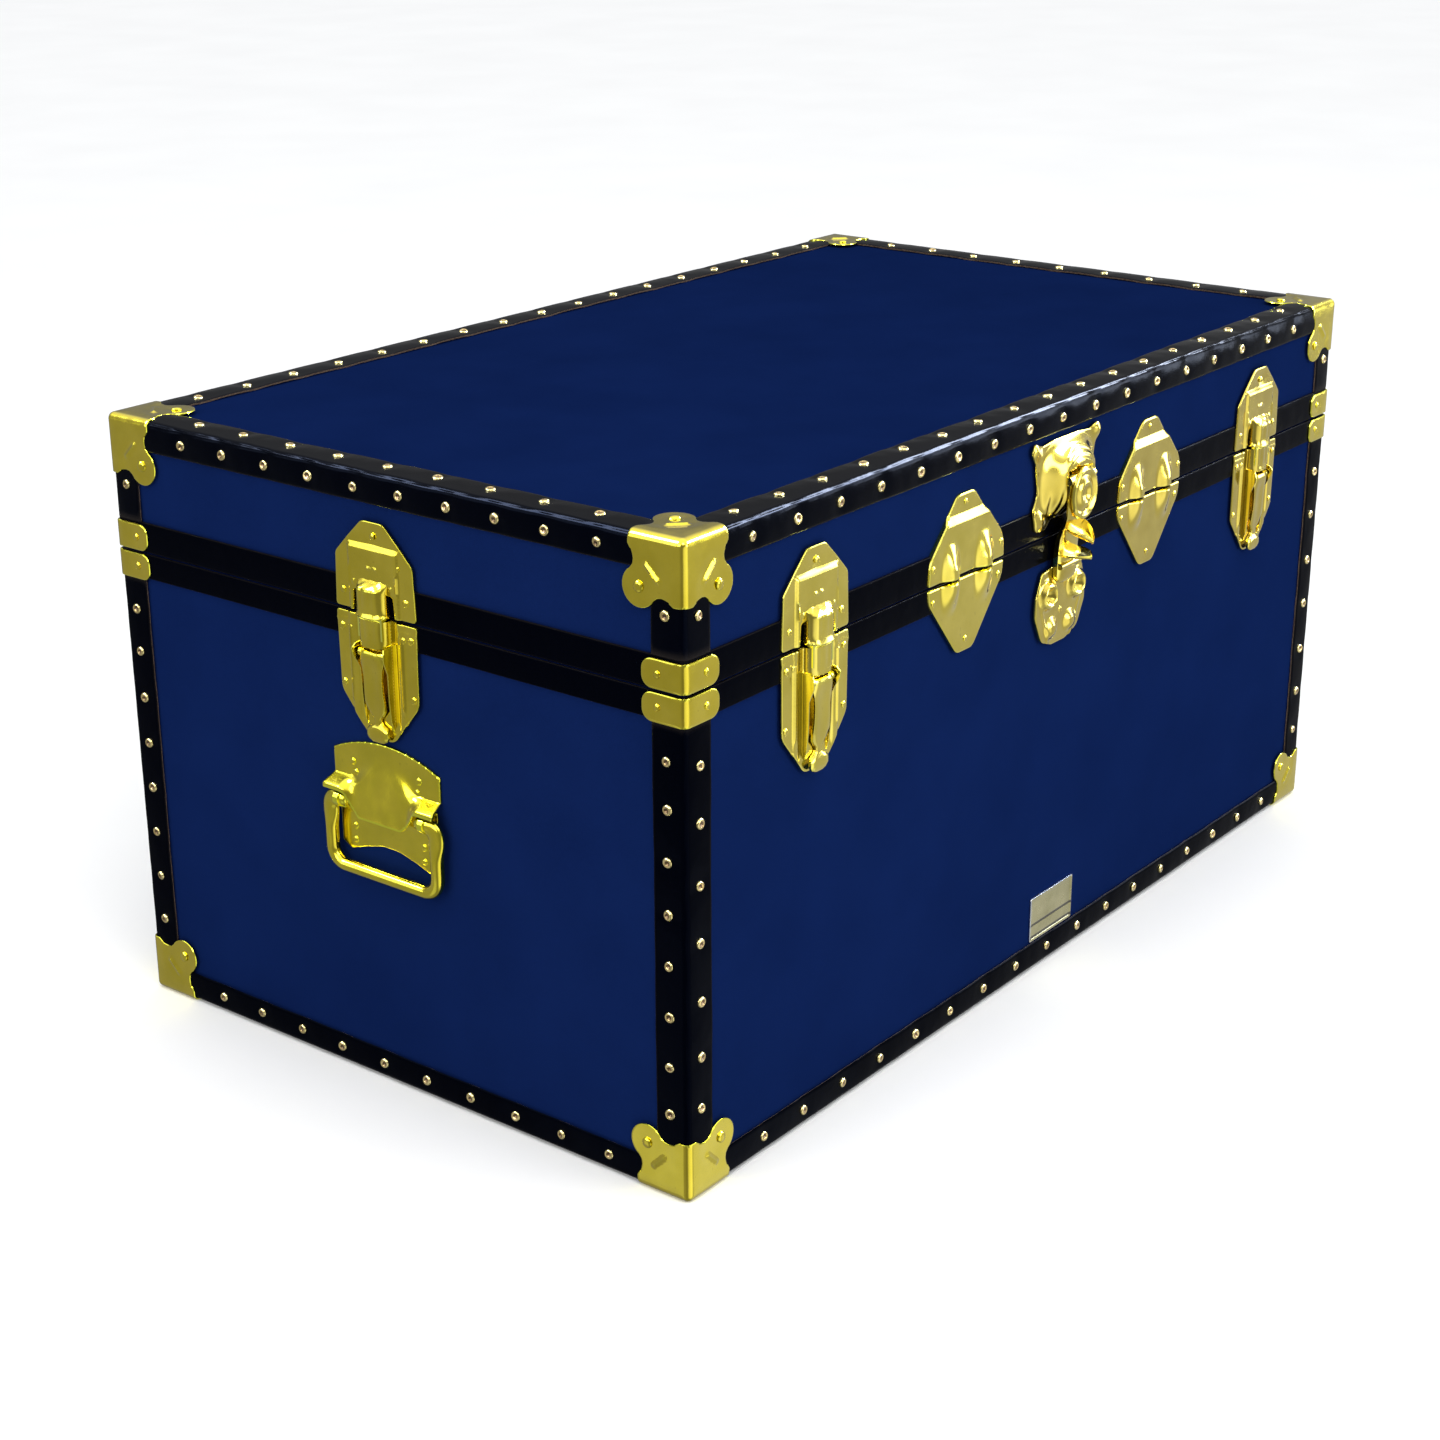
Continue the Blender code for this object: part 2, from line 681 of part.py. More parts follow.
def hasp_mesh():
    """The hasp, with its hinge on the local origin's X axis, hanging across the seam."""
    half = 18.5 * MM
    knuckle = rod((-half, 0, 0), (half, 0, 0), 3.4 * MM, 16)
    pin = rod((-22 * MM, 0, 0), (22 * MM, 0, 0), PIN, 12)
    outline = [
        (half, 1 * MM, 0),
        (half, -28 * MM, 6 * MM),
        (14 * MM, -44 * MM, 6 * MM),
        (15 * MM, -79 * MM, 5 * MM),
    ]
    strap = plate(rounded(mirrored(outline)), 0, 3 * MM)
    medallion = bulge((0, -2.5 * MM, -12 * MM), (15 * MM, 4 * MM, 17 * MM), 20, 10)
    medallion = carve(medallion, cuts=[box((-FAR, -1.5 * MM, -FAR), (FAR, FAR, FAR))])
    pull_profile = [
        (2 * MM, -62 * MM),
        (PULL_OUT, -66 * MM),
        (PULL_OUT, -68.5 * MM),
        (2 * MM, -65 * MM),
    ]
    pull = bar(pull_profile, -13 * MM, 13 * MM)
    roll = rod((-14 * MM, -2 * MM, -77 * MM), (14 * MM, -2 * MM, -77 * MM), 3 * MM, 12)
    return carve(knuckle, joins=[strap, pin, medallion, pull, roll])


def lock_base_mesh():
    corners = [
        (14 * MM, -25 * MM, 4 * MM),
        (34 * MM, -29 * MM, 5 * MM),
        (38 * MM, -55 * MM, 12 * MM),
        (24 * MM, -84 * MM, 14 * MM),
    ]
    body = plate(rounded(mirrored(corners)), GAP, PLATE)
    bosses = [
        bulge((s * 22 * MM, -GAP - PLATE / 2, -52 * MM), (11 * MM, 6 * MM, 12 * MM)) for s in (-1, 1)
    ]
    eyes = [
        bulge((s * 17 * MM, -GAP - PLATE / 2, -76 * MM), (7 * MM, 3 * MM, 7 * MM), 12, 8)
        for s in (-1, 1)
    ]
    backing = box((-FAR, -GAP - PLATE / 2, -FAR), (FAR, FAR, FAR))
    swells = [carve(b, cuts=[backing.copy()]) for b in bosses + eyes]
    return carve(body, joins=swells)


def lock():
    place = on_face("front", 0, SEAM)
    part("lock_lid_plate", lock_lid_mesh(), BRASS, place)
    part("lock_base_plate", lock_base_mesh(), BRASS, place)
    axis = Matrix.Translation((0, -HASP_AXIS_OUT, HASP_AXIS))
    part("lock_hasp", hasp_mesh(), BRASS, place @ axis)


# End handles. Heights are from the bail's hinge axis.

BAIL_RADIUS = 4.6 * MM
BAIL_HALF = 51.5 * MM
BAIL_DROP = 51.5 * MM
BAIL_OUT = 5.2 * MM
SOCKET_INNER = 37 * MM
SOCKET_OUTER = 45.3 * MM


def handle_plate_mesh():
    """The plate with an arched top, a ledge over two sockets, and an arched lower edge."""
    level, thickness = -FIBRE, 1.5 * MM
    half = 51.5 * MM
    crown = arc((0, -68 * MM), 115 * MM, 63, 117, 8)
    low = arc((0, -112 * MM), 80 * MM, 120, 60, 6)
    outline = [
        (half, 15 * MM),
        (half, 28 * MM),
        *crown,
        (-half, 28 * MM),
        (-half, 15 * MM),
        (-41 * MM, 4 * MM),
        *low,
        (41 * MM, 4 * MM),
    ]
    body = plate(outline, level, thickness)
    ledge_profile = [
        (level + 0.5 * MM, 17 * MM),
        (11.5 * MM, 10.5 * MM),
        (11.5 * MM, 7.5 * MM),
        (level + 0.5 * MM, 12 * MM),
    ]
    ledge = bar(ledge_profile, -half, half)
    lip = plate(
        [(-32 * MM, 9 * MM), (-25 * MM, -1 * MM), (25 * MM, -1 * MM), (32 * MM, 9 * MM)],
        10 * MM,
        1.5 * MM,
    )
    sockets = []
    for side in (-1, 1):
        near, far = side * SOCKET_INNER, side * SOCKET_OUTER
        sockets.append(rod((near, -BAIL_OUT, 0), (far, -BAIL_OUT, 0), 7 * MM, 20))
        low_x, high_x = min(near, far), max(near, far)
        sockets.append(box((low_x, -BAIL_OUT - 5 * MM, 0), (high_x, 1 * MM, 12 * MM)))
        sockets.append(box((low_x, -BAIL_OUT, -6 * MM), (high_x, 1 * MM, 3 * MM)))
    bore = rod((-FAR, -BAIL_OUT, 0), (FAR, -BAIL_OUT, 0), BAIL_RADIUS + 0.5 * MM, 20)
    behind = box((-FAR, FIBRE, -FAR), (FAR, FAR, FAR))
    return carve(body, joins=[ledge, lip, *sockets], cuts=[bore, behind])


def bail_mesh():
    """The bail as a bent round rod, with its hinge on the local origin's X axis."""
    bend, turn = 13 * MM, 7 * MM
    low, half = -BAIL_DROP, BAIL_HALF
    right = [
        (SOCKET_INNER + 0.5 * MM, 0),
        *arc((half - turn, -turn), turn, 90, 0, 4),
        *arc((half - bend, low + bend), bend, 0, -90, 5),
    ]
    route = right + [(-x, z) for x, z in reversed(right)]
    curve = bpy.data.curves.new("bail", "CURVE")
    curve.dimensions = "3D"
    curve.bevel_depth = BAIL_RADIUS
    curve.bevel_resolution = 3
    curve.use_fill_caps = True
    spline = curve.splines.new("POLY")
    spline.points.add(len(route) - 1)
    for point, (x, z) in zip(spline.points, route):
        point.co = (x, 0, z, 1)
    made = bpy.data.objects.new("bail", curve)
    bpy.context.scene.collection.objects.link(made)
    return from_mesh_outward(welded(baked(made)))


def handles():
    plate_mesh, bail = handle_plate_mesh(), bail_mesh()
    for face in ("left", "right"):
        place = on_face(face, 0, HANDLE_AXIS)
        part(f"handle_{face}_plate", plate_mesh, BRASS, place)
        part(f"handle_{face}_bail", bail, BRASS, place @ Matrix.Translation((0, -BAIL_OUT, 0)))


# Stop hinges. Heights are from the seam, which is also the hinge axis.

KNUCKLE = 3.6 * MM
KNUCKLE_PIN = 1.6 * MM
KNUCKLE_HALF = 30 * MM
KNUCKLE_MIDDLE = 9.6 * MM


def hinge_meshes():
    sheet = 1.5 * MM
    up = [(11 * MM, 52 * MM, 8 * MM), (33 * MM, 24 * MM, 8 * MM), (34 * MM, 1.2 * MM, 2 * MM)]
    down = [(34 * MM, -1.2 * MM, 2 * MM), (33 * MM, -24 * MM, 8 * MM), (11 * MM, -52 * MM, 8 * MM)]
    clear = KNUCKLE + 0.8 * MM
    split = KNUCKLE_MIDDLE + 0.4 * MM
    axis = -HINGE_OUT
    middle = rod((-KNUCKLE_MIDDLE, axis, 0), (KNUCKLE_MIDDLE, axis, 0), KNUCKLE, 20)
    web = box((-KNUCKLE_MIDDLE, -HINGE_OUT, 0), (KNUCKLE_MIDDLE, -GAP, 4 * MM))
    bore = rod((-FAR, axis, 0), (FAR, axis, 0), KNUCKLE_PIN + 0.3 * MM, 14)
    notches = [
        box((split - 0.2 * MM, -PAST, -PAST), (KNUCKLE_HALF + 0.5 * MM, PAST, clear)),
        box((-KNUCKLE_HALF - 0.5 * MM, -PAST, -PAST), (-split + 0.2 * MM, PAST, clear)),
    ]
    lid = carve(plate(rounded(mirrored(up)), GAP, sheet), cuts=notches)
    lid = carve(lid, joins=[middle, web], cuts=[bore])
    notch = box((-split, -PAST, -clear), (split, PAST, PAST))
    base = carve(plate(rounded(mirrored(down)), GAP, sheet), cuts=[notch])
    ends = []
    for side in (-1, 1):
        near, far = side * split, side * KNUCKLE_HALF
        ends.append(rod((near, axis, 0), (far, axis, 0), KNUCKLE, 20))
        ends.append(
            box((min(near, far), -HINGE_OUT, -4 * MM), (max(near, far), -GAP - 0.1 * MM, -0.8 * MM))
        )
    pin = rod((-KNUCKLE_HALF + MM, axis, 0), (KNUCKLE_HALF - MM, axis, 0), KNUCKLE_PIN, 14)
    return lid, carve(base, joins=[*ends, pin])


def hinges():
    lid, base = hinge_meshes()
    for side, along in (("left", HINGES), ("right", -HINGES)):
        place = on_face("back", along, SEAM)
        part(f"hinge_{side}_lid_leaf", lid, BRASS, place)
        part(f"hinge_{side}_base_leaf", base, BRASS, place)


def label():
    half_width, half_height = 32 * MM, 19 * MM
    corners = [(half_width, half_height, 2 * MM), (half_width, -half_height, 2 * MM)]
    sheet = plate(rounded(mirrored(corners), 2), -FIBRE, 0.8 * MM)
    part("label_plate", sheet, GOLD, on_face("front", LABEL_OFFSET, LABEL_HEIGHT))


clear_scene()
PARTS = collection("steamer_trunk")
CUTTERS = collection("cutters")
TRUNK = bpy.data.objects.new("trunk", None)
PARTS.objects.link(TRUNK)
TRUNK.location.y = (HASP_AXIS_OUT + PULL_OUT - HINGE_OUT - KNUCKLE) / 2
base_boards()
lid_boards()
binding()
closure_bands()
corner_brackets()
seam_clamps()
catches()
dowels()
lock()
handles()
hinges()
label()
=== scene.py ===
"""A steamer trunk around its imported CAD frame, for a studio view from its front left.

Metres, +Z up; the front, with the lock, faces -Y. Hardware is made in mm as it lies on the
front, where -Y points out of the face and 0 is the binding's outer level, and is then
turned to its own face. Every mesh is in the row frame, so every object sits at the origin.
"""

import json
import math
import random

import bmesh
import bpy
import numpy as np
from mathutils import Matrix, Vector
from mathutils.geometry import delaunay_2d_cdt


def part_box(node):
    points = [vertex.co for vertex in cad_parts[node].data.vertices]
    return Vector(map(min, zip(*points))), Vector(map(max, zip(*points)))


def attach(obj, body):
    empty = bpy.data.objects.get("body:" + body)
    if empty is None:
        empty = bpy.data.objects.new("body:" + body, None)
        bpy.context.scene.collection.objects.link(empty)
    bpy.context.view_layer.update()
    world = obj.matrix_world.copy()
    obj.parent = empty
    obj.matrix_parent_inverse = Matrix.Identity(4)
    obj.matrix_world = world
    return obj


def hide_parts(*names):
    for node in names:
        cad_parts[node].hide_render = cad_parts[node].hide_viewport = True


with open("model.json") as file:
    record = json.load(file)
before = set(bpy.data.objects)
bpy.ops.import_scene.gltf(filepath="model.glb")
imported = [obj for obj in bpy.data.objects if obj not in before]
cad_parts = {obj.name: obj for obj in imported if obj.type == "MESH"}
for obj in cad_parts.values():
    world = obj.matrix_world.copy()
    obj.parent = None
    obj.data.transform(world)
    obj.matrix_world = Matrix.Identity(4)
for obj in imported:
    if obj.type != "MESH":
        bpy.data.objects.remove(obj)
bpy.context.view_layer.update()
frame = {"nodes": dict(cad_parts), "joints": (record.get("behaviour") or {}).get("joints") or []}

MM = 0.001
SEED = 7
STRIP_SEED = 101

# The frame's own levels

BASE_LOW, BASE_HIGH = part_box("base_edge_binding")
_, LID_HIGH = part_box("lid_edge_binding")
BAND_LOW, BAND_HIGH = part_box("base_closure_band")
LID_BAND_LOW, LID_BAND_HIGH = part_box("lid_closure_band")
MIDDLE = (BASE_LOW + BASE_HIGH) / 2
HALF_LENGTH = (BASE_HIGH.x - BASE_LOW.x) / 2
HALF_WIDTH = (BASE_HIGH.y - BASE_LOW.y) / 2
BOTTOM, TOP = BASE_LOW.z, LID_HIGH.z
SEAM = (BAND_HIGH.z + LID_BAND_LOW.z) / 2
JOINTS = {j["name"]: j for j in frame["joints"]}

# Binding, in mm: the fibre's thickness, its legs, and the outer radius of its fold

FIBRE = 2.0
LEG, TOP_LEG, BOTTOM_LEG = 27.0, 22.5, 23.0
FOLD = 4.5


# Curves and reliefs


def smooth(value, start, end):
    """0 before start, 1 after end, and a smooth rise between them."""
    t = np.clip((value - start) / (end - start), 0, 1)
    return t * t * (3 - 2 * t)


def fall(value, start, end):
    """1 before start, 0 after end, and a smooth fall between them."""
    return 1 - smooth(value, start, end)


def bell(value, width):
    """A soft bump, 1 at zero and falling off over that width."""
    return np.exp(-((value / width) ** 2))


def rim_drop(rim_distance, radius):
    """How far a rounded rim falls below the sheet's face."""
    t = 1 - np.clip(rim_distance / radius, 0, 1)
    return radius * (1 - np.sqrt(np.maximum(0, 1 - t * t)))


def circle(count):
    """That many angles, evenly round a circle."""
    return np.linspace(0, 2 * math.pi, count, endpoint=False)


def arc(centre, radius, start, end, steps):
    """Points of an arc in the plane, between two angles in degrees."""
    angles = np.radians(np.linspace(start, end, steps + 1))
    return [(centre[0] + radius * math.cos(a), centre[1] + radius * math.sin(a)) for a in angles]


def rounded(corners, steps=5):
    """An outline through (x, z, radius) corners in mm, each turned by a smooth arc."""
    points = []
    for i, (x, z, radius) in enumerate(corners):
        here = Vector((x, z))
        back = Vector(corners[i - 1][:2]) - here
        ahead = Vector(corners[(i + 1) % len(corners)][:2]) - here
        if radius <= 0:
            points.append((x, z))
            continue
        reach = min(radius / math.tan(back.angle(ahead) / 2), 0.48 * back.length, 0.48 * ahead.length)
        start, end = here + back.normalized() * reach, here + ahead.normalized() * reach
        for t in np.linspace(0, 1, steps + 1):
            points.append(tuple(start * (1 - t) ** 2 + here * 2 * t * (1 - t) + end * t**2))
    return points


def symmetric(*right_half):
    """A rounded outline from the (x, z, radius) corners of its right half, from top to bottom."""
    return rounded([*right_half, *[(-x, z, radius) for x, z, radius in reversed(right_half)]])


def pairs(*spots):
    """Each (x, z) spot on the left, and then on the right."""
    return [(side * x, z) for x, z in spots for side in (-1, 1)]


def both_sides(*creases):
    """The (from, to, width) creases and their mirror images."""
    return [*creases, *[((-ax, az), (-bx, bz), width) for (ax, az), (bx, bz), width in creases]]


# Flat outlines and how they are filled


def dense(points, step):
    """A closed outline with points no further apart than step."""
    made = []
    points = np.array(points, float)
    for a, b in zip(points, np.roll(points, -1, axis=0)):
        count = max(1, int(math.ceil(np.linalg.norm(b - a) / step)))
        made += [a + (b - a) * i / count for i in range(count)]
    return np.array(made)


def inside(points, border):
    """Which of the points lie inside the outline."""
    odd = np.zeros(len(points), bool)
    for a, b in zip(border, np.roll(border, -1, axis=0)):
        crosses = (a[1] > points[:, 1]) != (b[1] > points[:, 1])
        run = (b[1] - a[1]) or 1e-12
        odd ^= crosses & (points[:, 0] < (b[0] - a[0]) * (points[:, 1] - a[1]) / run + a[0])
    return odd


def distance(points, starts, ends):
    """The distance from each point to the nearest of the segments."""
    best = np.full(len(points), 1e9)
    for a, b in zip(starts, ends):
        run = b - a
        t = np.clip((points - a) @ run / max(run @ run, 1e-12), 0, 1)
        best = np.minimum(best, np.linalg.norm(points - a - t[:, None] * run, axis=1))
    return best


def inward_corners(border):
    """At each border point, the way inward that keeps a row parallel to the border."""
    run = np.roll(border, -1, axis=0) - border
    normal = np.stack([-run[:, 1], run[:, 0]], 1)
    normal /= np.maximum(np.linalg.norm(normal, axis=1), 1e-9)[:, None]
    if not inside(border + run / 2 + normal * 0.02, border).mean() > 0.5:
        normal = -normal
    corner = normal + np.roll(normal, 1, axis=0)
    return corner / np.maximum(np.linalg.norm(corner, axis=1), 0.3)[:, None]


def filled(outline, step, is_fold=None, rim=0.5, creases=()):
    """Flat points, triangles, the border's order and each point's distance from the rim.

    is_fold says which border segments are folds to another face, and so no rim. Two rows of
    points follow the rim inside its rounding, and three follow each crease (from, to, width).
    """
    border = dense(outline, step)
    after = np.roll(border, -1, axis=0)
    on_rim = np.array([not (is_fold and is_fold(a, b)) for a, b in zip(border, after)])

    def from_rim(points):
        return distance(points, border[on_rim], after[on_rim])

    corner = inward_corners(border)
    rows = []
    for gap in (0.35 * rim, rim):
        ring = border + corner * gap
        kept = on_rim & np.roll(on_rim, 1) & inside(ring, border) & (from_rim(ring) > 0.8 * gap)
        rows.append((np.vstack([ring, ring[:1]]), np.append(kept, kept[0])))
    low, high = border.min(0), border.max(0)
    grid = []
    for i, z in enumerate(np.arange(low[1], high[1], step * 0.87)):
        grid += [(x, z) for x in np.arange(low[0] + (i % 2) * step / 2, high[0], step)]
    grid = np.array(grid)
    grid = grid[inside(grid, border)]
    free = (from_rim(grid) > rim + 0.45 * step) & (distance(grid, border, after) > 0.5 * step)
    for start, end, width in creases:
        start, end = np.array(start, float), np.array(end, float)
        length = np.linalg.norm(end - start)
        aside = np.array([-(end - start)[1], (end - start)[0]]) / length
        for offset in (-width, 0.0, width):
            t = np.linspace(0, 1, int(length / step) + 2)[:, None]
            row = start + (end - start) * t + aside * offset
            rows.append((row, inside(row, border) & (from_rim(row) > rim + 0.5)))
        free &= distance(grid, [start], [end]) > width + 0.45 * step
    count = len(border)
    points = [tuple(p) for p in border]
    edges = [(i, (i + 1) % count) for i in range(count)]
    for row, kept in rows:
        last = None
        for point, keep in zip(row, kept):
            if keep:
                points.append(tuple(point))
                if last is not None:
                    edges.append((last, len(points) - 1))
            last = len(points) - 1 if keep else None
    points += [tuple(p) for p in grid[free]]
    found = delaunay_2d_cdt([Vector(p) for p in points], edges, [], 1, 1e-4)
    flat = np.array([tuple(v) for v in found[0]])
    order = [0] * count
    for new, old in enumerate(found[3]):
        for index in old:
            if index < count:
                order[index] = new
    return flat, [tuple(f) for f in found[2]], order, from_rim(flat)


# Meshes


def finished(bm):
    """The mesh that was built, its faces turned outward."""
    bmesh.ops.recalc_face_normals(bm, faces=bm.faces)
    mesh = bpy.data.meshes.new("shape")
    bm.to_mesh(mesh)
    bm.free()
    return mesh


def add_faces(bm, points, faces):
    verts = [bm.verts.new(p) for p in points]
    for face in faces:
        bm.faces.new([verts[i] for i in face])


def mesh_of(points, faces):
    bm = bmesh.new()
    add_faces(bm, points, faces)
    return finished(bm)


def stamped(outline, height, level=0.3, thickness=1.2, step=1.3, rim=0.5, place=None, creases=()):
    """A stamped plate: a closed mesh of that outline (mm) whose face stands out by height(x, z).

    place, if given, bends the sheet: it turns (x, out, z) arrays in mm into points.
    """
    flat, faces, order, rim_distance = filled(outline, step, rim=rim, creases=creases)
    x, z = flat.T
    out = level + thickness + height(x, z) - rim_drop(rim_distance, rim)
    first = len(flat)
    if place:
        points = [place(x, out, z), place(x, np.full(first, level), z)]
        under = [first + i for i in order]
        back = [tuple(first + i for i in reversed(face)) for face in faces]
    else:
        border_x, border_z = flat[order].T
        behind = np.stack([border_x, np.full(len(order), -level), border_z], 1)
        points = [np.stack([x, -out, z], 1), behind]
        under = list(range(first, first + len(order)))
        back = [tuple(under)]
    ring = list(zip(order, under))
    skirt = [(a, b, d, c) for (a, c), (b, d) in zip(ring, ring[1:] + ring[:1])]
    return mesh_of(np.concatenate(points) * MM, faces + skirt + back)


def loft(rings, closed=False):
    """A skin through rings with equally many points (mm), capped or joined end to end."""
    rings = np.array(rings, float) * MM
    count, size = rings.shape[:2]
    faces = []
    for i in range(count if closed else count - 1):
        near, far = i * size, (i + 1) % count * size
        for j in range(size):
            k = (j + 1) % size
            faces.append((near + j, near + k, far + k, far + j))
    if not closed:
        faces += [tuple(range(size)), tuple(range((count - 1) * size, count * size))]
    return mesh_of(rings.reshape(-1, 3), faces)


def tube(route, radii):
    """A rod along a route (mm) in an XZ plane, with its own two radii at each point."""
    route = np.array(route, float)
    run = np.gradient(route, axis=0)
    run /= np.linalg.norm(run, axis=1)[:, None]
    rings = []
    for point, ahead, (wide, deep) in zip(route, run, radii):
        other = np.cross(ahead, (0.0, 1.0, 0.0))
        other /= np.linalg.norm(other)
        third = np.cross(other, ahead)
        rings.append([point + other * wide * math.cos(a) + third * deep * math.sin(a) for a in circle(24)])
    return loft(rings)


def turned(stations, count, middle=(0, 0), half=(1, 1)):
    """A shape turned about -Y through (radius, out) stations, its radii in units of half."""
    x, z = middle
    rings = []
    for radius, out in stations:
        wide, tall = half[0] * radius, half[1] * radius
        rings.append([(x + wide * math.cos(a), -out, z + tall * math.sin(a)) for a in circle(count)])
    return loft(rings)


def roller(places, radius, out, z, sides=18):
    """A round bar through those places along X, at that distance out and that height (mm)."""
    return loft([
        [(x, -out - radius * math.cos(a), z + radius * math.sin(a)) for a in circle(sides)]
        for x in places
    ])


def centred(half):
    """Places along a bar of that half length, with one just inside each end."""
    return (-half, -half + 0.5, 0, half - 0.5, half)


ACROSS = np.linspace(-1, 1, 17)  # from the left side of a bar to its right


def bar_ring(half, near, far, narrow=1.0):
    """A ring of a flattish bar: its near side rightward, then its far side back again.

    Each side is (out, z) in mm, and either may change along ACROSS.
    """
    sides = []
    for width, (out, z) in ((half, near), (half * narrow, far)):
        sides.append(np.stack(np.broadcast_arrays(width * ACROSS, -out, z), 1))
    return np.concatenate([sides[0], sides[1][::-1]])


def solid(mesh, thickness, rim_slot=0):
    """An open sheet thickened backward by that many mm, with its rim in a material slot."""
    thing = bpy.data.objects.new("sheet", mesh)
    bpy.context.scene.collection.objects.link(thing)
    thick = thing.modifiers.new("Thickness", "SOLIDIFY")
    thick.thickness = thickness * MM
    thick.offset = -1
    thick.material_offset_rim = rim_slot
    bpy.context.view_layer.update()
    made = bpy.data.meshes.new_from_object(thing.evaluated_get(bpy.context.evaluated_depsgraph_get()))
    bpy.data.objects.remove(thing)
    return made


def joined(meshes):
    """One mesh of several closed shells."""
    bm = bmesh.new()
    for mesh in meshes:
        bm.from_mesh(mesh)
    made = bpy.data.meshes.new("shape")
    bm.to_mesh(made)
    bm.free()
    return made


def moved(mesh, matrix):
    made = mesh.copy()
    made.transform(matrix)
    return made


FACES = ("front", "right", "back", "left")
AS_MADE = Matrix.Identity(4)


def on_face(face, along=0.0, height=0.0):
    """Places hardware on a face: along it to the right as seen from outside, and up (m)."""
    turn = Matrix.Rotation(math.radians((0, 90, 180, -90)[FACES.index(face)]), 4, "Z")
    reach = HALF_WIDTH if face in ("front", "back") else HALF_LENGTH
    centre = Matrix.Translation((MIDDLE.x, MIDDLE.y, 0))
    return centre @ turn @ Matrix.Translation((along, -reach, height))


def soften(thing, width, angle=30):
    """Rounds a thing's edges that turn by more than that angle, by a width in mm."""
    edge = thing.modifiers.new("Soft edges", "BEVEL")
    edge.width = width * MM
    edge.segments = 2
    edge.limit_method = "ANGLE"
    edge.angle_limit = math.radians(angle)


def piece(name, mesh, body, material, replaces=(), place=AS_MADE, edge=0.0, angle=40):
    """A named piece of the object that rides a body, with its edges softened by edge (mm)."""
    mesh = moved(mesh, place)
    mesh.name = name
    for one in material if isinstance(material, tuple) else (material,):
        mesh.materials.append(one)
    mesh.shade_smooth()
    mesh.set_sharp_from_angle(angle=math.radians(angle))
    made = bpy.data.objects.new(name, mesh)
    bpy.context.scene.collection.objects.link(made)
    if edge:
        soften(made, edge, 50)
    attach(made, body)
    if replaces:
        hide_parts(*replaces)


# Materials


MIX_A, MIX_B, MIX_RESULT = 6, 7, 2  # the Mix node's sockets for colours


class Nodes:
    """The node tree of a material or a world, with short calls for the nodes that it needs."""

    def __init__(self, owner, coordinates="Object"):
        owner.use_nodes = True
        self.owner = owner
        self.tree = owner.node_tree
        self.where = self.add("TexCoord", {}).outputs[coordinates]

    def feed(self, node, inputs):
        """Links each input, by name or number, to another node's output, or sets it."""
        for key, value in inputs.items():
            socket = node.inputs[key]
            if isinstance(value, bpy.types.NodeSocket):
                self.tree.links.new(value, socket)
            else:
                socket.default_value = (*value, 1) if socket.type == "RGBA" else value

    def add(self, kind, inputs, **settings):
        node = self.tree.nodes.new("ShaderNode" + kind)
        for name, value in settings.items():
            setattr(node, name, value)
        self.feed(node, inputs)
        return node

    def noise(self, scale, detail=3.0, stretch=(1, 1, 1), roughness=0.5):
        where = self.add("Mapping", {"Scale": stretch, "Vector": self.where}).outputs["Vector"]
        inputs = {"Scale": scale, "Detail": detail, "Roughness": roughness, "Vector": where}
        return self.add("TexNoise", inputs).outputs["Fac"]

    def ramp(self, value, low, high, start=0.0, end=1.0, **settings):
        """Maps value from low..high to start..end."""
        inputs = {"Value": value, "From Min": low, "From Max": high, "To Min": start, "To Max": end}
        return self.add("MapRange", inputs, **settings).outputs["Result"]

    def mix(self, factor, a, b):
        inputs = {"Factor": factor, MIX_A: a, MIX_B: b}
        return self.add("Mix", inputs, data_type="RGBA").outputs[MIX_RESULT]

    def edges(self):
        """Where the surface turns outward sharply, for wear."""
        geometry = self.add("NewGeometry", {})
        return self.ramp(geometry.outputs["Pointiness"], 0.52, 0.6)

    def surface(self, colour, roughness, bumps=(), **constants):
        """The material, with (height, distance, strength) bumps one on top of another."""
        shader = self.tree.nodes["Principled BSDF"]
        self.feed(shader, {"Base Color": colour, "Roughness": roughness})
        self.feed(shader, {name.replace("_", " "): value for name, value in constants.items()})
        below = {}
        for height, metres, strength in bumps:
            bump = self.add("Bump", {"Height": height, "Distance": metres, "Strength": strength, **below})
            below = {"Normal": bump.outputs["Normal"]}
        self.feed(shader, below)
        return self.owner


def new_material(name):
    return Nodes(bpy.data.materials.new(name))


def brass(name, light, dark, rough=0.14):
    """Thin brass plate on stamped steel: cloudy tone, fine rubbing marks, slow waves."""
    n = new_material(name)
    colour = n.mix(n.ramp(n.noise(38, 4), 0.35, 0.68), dark, light)
    spots = n.ramp(n.noise(260, 3), 0.68, 0.76, 0.0, 0.4)
    colour = n.mix(spots, colour, tuple(0.65 * c for c in dark))
    colour = n.mix(n.edges(), colour, tuple(min(1.0, 1.35 * c) for c in light))
    roughness = n.ramp(n.noise(120, 4), 0.3, 0.7, rough - 0.04, rough + 0.06)
    bumps = ((n.noise(45, 1), 0.0004, 1.0), (n.noise(900, 2, (1, 1, 0.12)), 0.000012, 1.0))
    lacquer = {"Coat_Weight": 0.8, "Coat_Roughness": 0.1, "Coat_IOR": 1.5}
    return n.surface(colour, roughness, bumps, Metallic=1.0, **lacquer)


